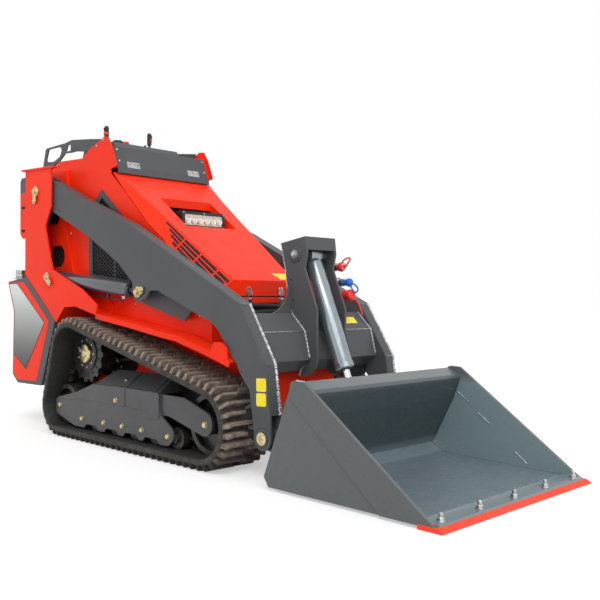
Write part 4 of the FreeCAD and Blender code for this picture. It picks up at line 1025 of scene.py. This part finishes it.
def build_tower_fittings():
    """Weld beads round the tower and the cross plate, a bright bead on the cross plate's fold whose
    brightness is painted highlight, pin rings, and a blank film.
    """
    piece = Piece("tower_fittings", "boom", "zinc_steel")
    rear = [(437, 957), (465, 839), (475, 765), (489, 674), (507, 655)]
    head = node_box("tilt_pin")[1][1]
    for _, s in SIDES:
        piece.seam(CROSS_TOP, s * 99, 4.0)
        piece.seam(CROSS_TOP, s * 348, 3.4)
        piece.seam(rear, s * 96, 2.6, shift=(2, 0))
        piece.seam(((611, 460), (560, 413)), s * 98, 3.0)
        piece.seam(((560, 411), (553, 388)), s * 98, 4.0)
        x, z = TILT_PIN
        piece.turn(mm(x, s * 97, z), (0, s, 0), [(33, 0), (33, 4), (31, 6), (22, 6)], "arm", 40)
        piece.turn(mm(x, s * head, z), (0, s, 0), [(20, 0), (20, 2.5), (18.5, 3.5)], "bare", 40)
        piece.bolt(mm(x, s * (head + 3.5), z), (0, s, 0), 12, "zinc")
        for x, z in ((502, 797), (514.5, 708)):
            piece.turn(mm(x, s * 97, z), (0, s, 0), [(4, 0), (4, 0.5)], "dark", 12)
    # Painted highlight: a thin bright bead along the cross plate's fold, a real joint whose bright colour
    # stands for the highlight on the fold's edge.
    for y0, y1 in ((-346, -100), (-95, -42), (42, 95), (100, 346)):
        piece.bead(mm(584.5, y0, 577.6), mm(584.5, y1, 577.6), 1.8, "weld", 4)
    piece.finish(soften=0.5)
    film = Piece("cross_film", "boom", "arm_paint")
    corners = mms((530, 197, 631), (530, 286, 631), (557, 286, 604), (557, 197, 604))
    film.slab(corners, Vector((0.0003, 0, 0.0003)), "yellow")
    film.finish(soften=0)


def build_couplers():
    """Collars, dust caps and pull loops on the couplers, their bracket, and the hoses under the beam."""
    looks = (("red_plastic", 857, 526, 19, 0.010), ("blue_plastic", 787, 570, 16, -0.012),
             ("red_plastic", 731, 578, 23, 0.0))
    for number, (key, z, start, radius, rise) in enumerate(looks):
        piece = Piece(f"coupler_cap_{number}", "boom", "black_plastic")
        collar = [(20, 0), (22, 2), (22, 12), (19, 14), (19, start - 512), (23, start - 510),
                  (23, start - 498), (20, start - 494)]
        piece.turn(mm(492, 150, z), FORWARD, collar, "zinc", 8)
        cap = [(radius - 3, 0), (radius, 2), (radius, 14), (radius - 2, 16), (radius - 2, 40),
               (radius + 2, 43), (radius + 3, 50), (radius, 60), (radius - 7, 64), (1, 66)]
        piece.turn(mm(start, 150, z), FORWARD, cap, key, 36)
        if rise:
            centre = mm(start + 76, 150, z) + Vector((0, 0, rise * 2))
            loop = []
            for t in (2 * math.pi * k / 28 for k in range(29)):
                height = 0.016 * math.sin(t) + rise * math.cos(t)
                loop.append(centre + Vector((0.021 * math.cos(t), 0.005 * math.sin(2 * t), height)))
            piece.tube(loop, 3.8, key, 12)
        else:
            strap = mms((622, 166, 722), (634, 176, 714), (645, 184, 694), (653, 190, 668), (658, 194, 645))
            piece.tube(strap, 3.6, key, 12)
        piece.finish(soften=0.5)
    hoses = Piece("tilt_hoses", "boom", "rubber")
    for path in (((538, 214, 425), (544, 240, 398), (550, 275, 388), (551, 310, 389), (546, 347, 402)),
                 ((532, 220, 425), (538, 246, 376), (546, 285, 365), (547, 320, 368), (543, 347, 376)),
                 ((530, 224, 425), (536, 250, 354), (545, 290, 342), (546, 325, 344), (543, 347, 352)),
                 ((545, 208, 432), (550, 240, 416), (553, 280, 408), (553, 320, 409), (548, 347, 422))):
        points = mms(*path)
        steps = [a.lerp(b, t / 6) for a, b in zip(points, points[1:]) for t in range(6)]
        hoses.tube(steps + points[-1:], 12, "grip", 20)
    hoses.finish(soften=0)
    plate = Piece("coupler_bracket", "boom", "arm_paint")
    plate.block(472, 476, 97, 190, 690, 900, "arm")
    for y, z in ((112, 705), (112, 885), (175, 705), (175, 885)):
        plate.bolt(mm(490, y, z), FORWARD, 6, "zinc")
    for _, z, *_ in looks:
        path = mms((474, 150, z), (452, 150, z), (444, 147, z - 6), (441, 140, z - 20), (441, 118, z - 46),
                   (446, 104, z - 60))
        plate.tube(path, 7, "zinc", 14)
    plate.finish(soften=0.6)


def run_of(base, eye):
    return (Vector(eye) - Vector(base)).normalized()


def along(base, eye, distance, off=0.0, y=0.0):
    """Point on a cylinder's line, a distance from its base, and off to the line's left."""
    run = run_of(base, eye)
    spot = Vector(base) + run * distance + square_to(run) * off
    return mm(spot.x, y, spot.y)


def build_cylinders():
    """Glands, ports and a hard line on each cylinder."""
    base, eye = LIFT_BASE, LIFT_EYE
    run = run_of(base, eye)
    out = Vector((run.x, 0, run.y))
    under = Vector((run.y, 0, -run.x))
    for side, s in SIDES:
        y = s * LIFT_MIDDLE
        piece = Piece(side + "_lift_fittings", side + "_lift_barrel", "zinc_steel")
        gland = [(38.2, 0), (39.2, 1.5), (39.2, 22), (36, 24.5), (20, 25)]
        piece.turn(along(base, eye, 690, 0, y), out, gland, "barrel", 48)
        piece.turn(along(base, eye, 713, 0, y), out, [(21, 0), (23, 1), (23, 3), (19, 4)], "dark", 32)
        line = [along(base, eye, d, off, y) for d, off in
                ((150, -40), (150, -50), (156, -56), (170, -58), (640, -58), (654, -56), (660, -50),
                 (660, -38))]
        piece.tube(line, 4.5, "black", 14)
        for d in (150, 660):
            piece.turn(along(base, eye, d, -36, y), under, [(13, 0), (13, 7), (9, 9), (9, 14)], "zinc", 6)
        for d in (300, 520):
            piece.turn(along(base, eye, d, -37, y), under, [(8, 0), (8, 24), (6, 26)], "black", 12)
        piece.finish(soften=0.5)
    base, eye = TILT_PIN, TILT_EYE
    run = run_of(base, eye)
    out = Vector((run.x, 0, run.y))
    piece = Piece("tilt_fittings", "tilt_barrel", "zinc_steel")
    gland = [(39.6, 0), (41.6, 1.5), (41.6, 24), (38, 26), (20, 26.5)]
    piece.turn(along(base, eye, 496), out, gland, "steel", 56)
    piece.turn(along(base, eye, 520), out, [(20, 0), (24, 1), (24, 4), (19, 5)], "dark", 32)
    for d in (92, 470):
        piece.turn(along(base, eye, d, 0, 36), (0, 1, 0), [(15, 0), (15, 9), (11, 11), (11, 15)], "zinc", 6)
    line = [along(base, eye, d, 0, off) for d, off in
            ((92, 48), (92, 53), (98, 58), (110, 60), (450, 60), (462, 58), (470, 53), (470, 48))]
    piece.tube(line, 5.5, "grip", 16)
    piece.finish(soften=0.6)


# ---- bucket ----
EDGE_BOLT_PITCH = 225.8


def build_bucket_fittings():
    """Bolts and lap plate over the cutting edge, seam beads and stitch welds."""
    piece = Piece("edge_bolts", "bucket", "zinc_steel")
    stack = ((22, [(15, 0), (15, 2.5), (14, 3)], 28), (25, [(12.5, 0), (12.5, 10), (10.5, 12)], 6),
             (36, [(7.6, 0), (7.6, 13), (6.2, 15)], 20), (0.3, [(7.4, 0), (7.4, 15)], 20))
    for i in (-2, -1, 0, 1, 2):
        for z, profile, sides in stack:
            piece.turn(mm(1482, i * EDGE_BOLT_PITCH, z), UP, profile, "zinc", sides)
    piece.finish(soften=0.5)
    lap = Piece("edge_lap", "bucket", "bucket_paint")
    lap.plate([(1430, 15.8), (1430, 26), (1448, 22.5), (1500, 22), (1506, 16)], -495, 495, "bucket")
    for y0 in range(-470, 470, 94):
        lap.bead(mm(1431, y0, 25.5), mm(1431, y0 + 52, 25.5), 2.2, "bucket", 4)
    lap.finish(soften=0.8)
    beads = Piece("bucket_welds", "bucket", "zinc_steel")
    inside = [(957, 385), (960, 371), (927, 281), (820, 72), (876, 39), (993, 31), (1220, 26), (1430, 21)]
    for _, s in SIDES:
        beads.seam(inside, s * 494, 3.0, "bucket", 5, (1, 1))
        for stitch in (((950, 307), (1004, 266)), ((1048, 225), (1103, 185)), ((1221, 80), (1272, 38))):
            beads.seam(stitch, s * 496, 2.4)
        beads.seam(((912, 418), (955, 416)), s * 500, 3.2)
        beads.seam(((828, 76), (856, 52)), s * 492, 5.0)
        beads.seam(((886, 358), (1268, 32)), s * 506, 2.4, "bucket", 5)
    beads.bead(mm(823, -440, 70), mm(823, 440, 70), 2.6, "bucket", 5)
    beads.finish(soften=0)


# ---- hood ----
HOOD_EDGE = [(-540, 1359), (-447, 1272), (-340, 1174), (-236, 1078), (-117, 998), (-33, 921), (241, 713)]
HOOD_REAR, HOOD_TOP, HOOD_RUN, HOOD_FALL = -559, 1377, 800, 578
HOOD_OUT = Vector((HOOD_FALL / HOOD_RUN, 0, 1)).normalized()


def hood_top_spot(x, y):
    """Point on the hood's sloping top."""
    return mm(x, y, HOOD_TOP - HOOD_FALL / HOOD_RUN * (x - HOOD_REAR))


def hood_spot(x, share, s, lift=0.0):
    """Point on the hood's side facet at a station, from the top's edge (0) to the body's edge (1)."""
    def bare(x, share):
        for (xa, za), (xb, zb) in zip(HOOD_EDGE, HOOD_EDGE[1:]):
            if xa <= x <= xb:
                break
        foot = za + (zb - za) * (x - xa) / (xb - xa)
        run = (x - HOOD_REAR) / HOOD_RUN
        half, top = 303 - 103 * run, HOOD_TOP - HOOD_FALL * run
        return Vector((x, half + (PANEL_FACE - half) * share, top + (foot - top) * share))
    spot = bare(x, share)
    normal = (bare(x + 4, share) - bare(x - 4, share)).cross(bare(x, share + 0.04) - bare(x, share - 0.04))
    spot += normal.normalized() * (-lift if normal.z < 0 else lift)
    return mm(spot.x, s * spot.y, spot.z)


def ribbon(piece, x0, x1, v0, v1, s, foot, top, key):
    """Strip on the hood's side facet between two stations and two shares, from one lift to another."""
    count = max(1, int(abs(x1 - x0) / 15))
    rings = []
    for i in range(count + 1):
        x = x0 + (x1 - x0) * i / count
        rings.append([hood_spot(x, v, s, lift) for v, lift in ((v0, foot), (v1, foot), (v1, top), (v0, top))])
    piece.loft(rings, key)


def build_hood_fittings():
    """Pressed louvre slots on the hood's side facets, their dark insides painted shade, and its hinge leaves.
    """
    piece = Piece("hood_louvres", "hood", "body_paint")
    rows = ((0.18, -166, 236), (0.35, -130, 228), (0.52, -102, 212), (0.69, -74, 190))
    half, lip = 0.064, 0.016
    bars = (-42, 62, 166)
    for _, s in SIDES:
        for share, start, end in rows:
            stops = [start] + [b for bar in bars if start < bar < end for b in (bar - 3.5, bar + 3.5)] + [end]
            for a, b in zip(stops[::2], stops[1::2]):
                # Painted shade: a dark strip stands for the shade inside each slot.
                ribbon(piece, a, b, share - half, share + half, s, -0.5, 0.35, "dark")
                for v in (share - half - lip, share + half):
                    ribbon(piece, a - 2, b + 2, v, v + lip, s, -0.5, 1.2, "body")
                for x in (a - 2, b):
                    ribbon(piece, x, x + 2, share - half, share + half, s, -0.5, 1.2, "body")
    piece.finish(soften=0)
    leaves = Piece("hood_leaves", "hood", "zinc_steel")
    for _, s in SIDES:
        leaf = ((-503, 160), (-486, 160), (-486, 240), (-503, 240))
        leaves.slab([hood_top_spot(x, s * y) for x, y in leaf], HOOD_OUT * 0.0025, "body")
    leaves.finish(soften=0.4, replaces=("hood_hinges",))


def build_latches():
    """Draw latches at the hood's lower edge, with keepers on the hood, and the seal and hoses under it."""
    keepers = Piece("latch_keepers", "hood", "zinc_steel")
    levers = Piece("latch_levers", "chassis", "zinc_steel")
    seal = Piece("hood_seal", "chassis", "rubber")
    face = 241
    for _, s in SIDES:
        y = s * 104
        keepers.block(face, face + 2, y - 13, y + 13, 732, 768, "zinc")
        hook = ((2, 748), (9, 750), (11, 757), (8, 759), (7, 754), (2, 753))
        keepers.plate([(face + x, z) for x, z in hook], y - 9, y + 9, "zinc")
        for z in (738, 763):
            keepers.turn(mm(face + 2, y, z), FORWARD, [(4, 0), (4, 1), (2, 2)], "bare", 16)
        levers.block(face, face + 2, y - 14, y + 14, 692, 720, "zinc")
        lever = ((2, 712), (10, 718), (13, 712), (9, 700), (8, 686), (5, 686), (4, 700))
        levers.plate([(face + x, z) for x, z in lever], y - 9, y + 9, "zinc")
        levers.turn(mm(face + 9, y - 12, 712), (0, 1, 0), [(2.6, 0), (2.6, 24)], "bare", 14)
        for a in (-11, 11):
            bail = mms((face + 9, y + a, 712), (face + 12, y + a, 730), (face + 10, y + a, 748),
                       (face + 8.5, y + a * 0.8, 752))
            levers.tube(bail, 1.7, "zinc", 10)
        levers.tube([mm(face + 8.5, y + a, 752) for a in (-10, 0, 10)], 1.7, "zinc", 10)
    seal.plate([(232, 722), (239, 722), (240, 724.3), (239, 726.5), (232, 726.5)], -196, 196, "dark")
    for z, radius, lean in ((680, 15, 3), (651, 19, -4)):
        path = [mm(250 + 5 * math.cos(k * 0.9), -182 + 36.4 * k, z + lean * math.sin(k * 0.62))
                for k in range(11)]
        seal.tube(path, radius, "grip", 24)
    keepers.finish(soften=0.4, replaces=("hood_latches",))
    levers.finish(soften=0.4)
    seal.finish(soften=0)


def build_hood_film():
    """Blank yellow film near the hood's front edge."""
    film = Piece("hood_film", "hood", "body_paint")
    label = ((190, 92), (190, 190), (232, 190), (232, 116))
    film.slab([hood_top_spot(x, y) for x, y in label], HOOD_OUT * 0.0004, "yellow")
    film.finish(soften=0)


def build_lamp():
    """Bezel, cooling ribs and six reflector cells on the work light."""
    low, high = node_box("work_light")
    face, half, bottom, top = high[0], high[1], low[2], high[2]
    piece = Piece("lamp_front", "hood", "black_plastic")
    wide, foot, roof = half - 16, bottom + 13, top - 13
    outer, inner = oblong(half, bottom, top), oblong(wide, foot, roof)
    facing_frame(piece, "plastic", (outer, face), (outer, face + 5), (inner, face + 8), (inner, face))
    piece.block(face - 1, face + 1, -wide, wide, foot, roof, "reflector")
    middle = (bottom + top) / 2
    for k in range(6):
        y = -102.5 + k * 41
        spot = mm(face + 1, y, middle)
        piece.turn(spot, FORWARD, [(20, 0), (20, 6), (18.5, 6.4), (9, 1.2)], "reflector", 36)
        piece.turn(spot, FORWARD, [(8, 0), (8, 3), (5, 5), (1, 5.6)], "lens", 20)
    for y in (-41, 41):
        piece.block(face, face + 4.5, y - 1.5, y + 1.5, foot, roof, "zinc")
    for k in range(12):
        y = -126 + k * 23
        piece.block(face - 46, face - 3, y - 2, y + 2, top, top + 5, "plastic")
    for y, z in ((-131, bottom + 7), (131, bottom + 7), (-131, top - 7), (131, top - 7), (0, top - 7),
                 (0, bottom + 7)):
        piece.turn(mm(face + 5, y, z), FORWARD, [(4, 0), (4, 2), (2, 3)], "zinc", 16)
    piece.finish(soften=0.7)


# ---- stage ----
LENS, SENSOR, SHIFT = 47.459, 36.0, 0.11
CAMERA_PLACE, CAMERA_TURN = (2.9455, -2.5762, 0.7059), (90.039, -0.138, 47.769)
SKY_LEVEL, FLOOR_GREY, FLOOR_GLOW = 0.78, 0.62, 0.45
# name, strength, angle, and turn in degrees
SUNS = (("key", 0.85, 25, (40, 0, 45)), ("fill", 0.8, 50, (62, 0, 64)))


def add_camera():
    data = bpy.data.cameras.new("camera")
    data.lens = LENS
    data.sensor_width = SENSOR
    data.shift_x = SHIFT
    camera = bpy.data.objects.new("camera", data)
    camera.location = CAMERA_PLACE
    camera.rotation_euler = [math.radians(a) for a in CAMERA_TURN]
    bpy.context.scene.collection.objects.link(camera)
    bpy.context.scene.camera = camera


def add_sun(name, strength, angle, rotation):
    data = bpy.data.lights.new(name, "SUN")
    data.energy = strength
    data.angle = math.radians(angle)
    sun = bpy.data.objects.new(name, data)
    sun.rotation_euler = [math.radians(a) for a in rotation]
    bpy.context.scene.collection.objects.link(sun)


def seen_share(tree):
    """1 for rays that show the background directly, in a mirror or through glass."""
    path = tree.nodes.new("ShaderNodeLightPath")
    total = path.outputs["Is Camera Ray"]
    for name in ("Is Glossy Ray", "Is Transmission Ray"):
        add = tree.nodes.new("ShaderNodeMath")
        add.operation = "ADD"
        add.use_clamp = True
        tree.links.new(total, add.inputs[0])
        tree.links.new(path.outputs[name], add.inputs[1])
        total = add.outputs[0]
    return total


def add_world():
    world = bpy.data.worlds.new("studio")
    bpy.context.scene.world = world
    world.use_nodes = True
    tree = world.node_tree
    background = tree.nodes["Background"]
    background.inputs["Color"].default_value = (1, 1, 1, 1)
    strength = tree.nodes.new("ShaderNodeMapRange")
    tree.links.new(seen_share(tree), strength.inputs["Value"])
    strength.inputs["To Min"].default_value = SKY_LEVEL
    strength.inputs["To Max"].default_value = 1.0
    tree.links.new(strength.outputs["Result"], background.inputs["Strength"])


def add_floor():
    """White floor that keeps the shadow: part lit surface, part plain white where it is seen."""
    bpy.ops.mesh.primitive_plane_add(size=80, location=(0, 0, -0.0005))
    floor = bpy.context.object
    floor.name = "floor"
    n = Nodes("floor_white")
    glow = n.math("MULTIPLY", seen_share(n.tree), FLOOR_GLOW)
    n.set(Base_Color=(FLOOR_GREY,) * 3 + (1,), Roughness=0.9, Emission_Color=(1, 1, 1, 1),
          Emission_Strength=glow)
    floor.data.materials.append(n.material)


bpy.context.scene.view_settings.view_transform = "Standard"
add_camera()
add_world()
for sun in SUNS:
    add_sun(*sun)
add_floor()
dress_nodes()
for side, s in SIDES:
    build_belt(side, s)
for build in (build_grilles, build_top_fittings, build_console, build_post_fittings, build_shade_sheets,
              build_fender_lugs, build_housing, build_tanks, build_platform, build_engine,
              build_track_fittings, build_arm_fittings, build_tower_fittings, build_couplers,
              build_cylinders, build_bucket_fittings, build_hood_fittings, build_latches,
              build_hood_film, build_lamp):
    build()
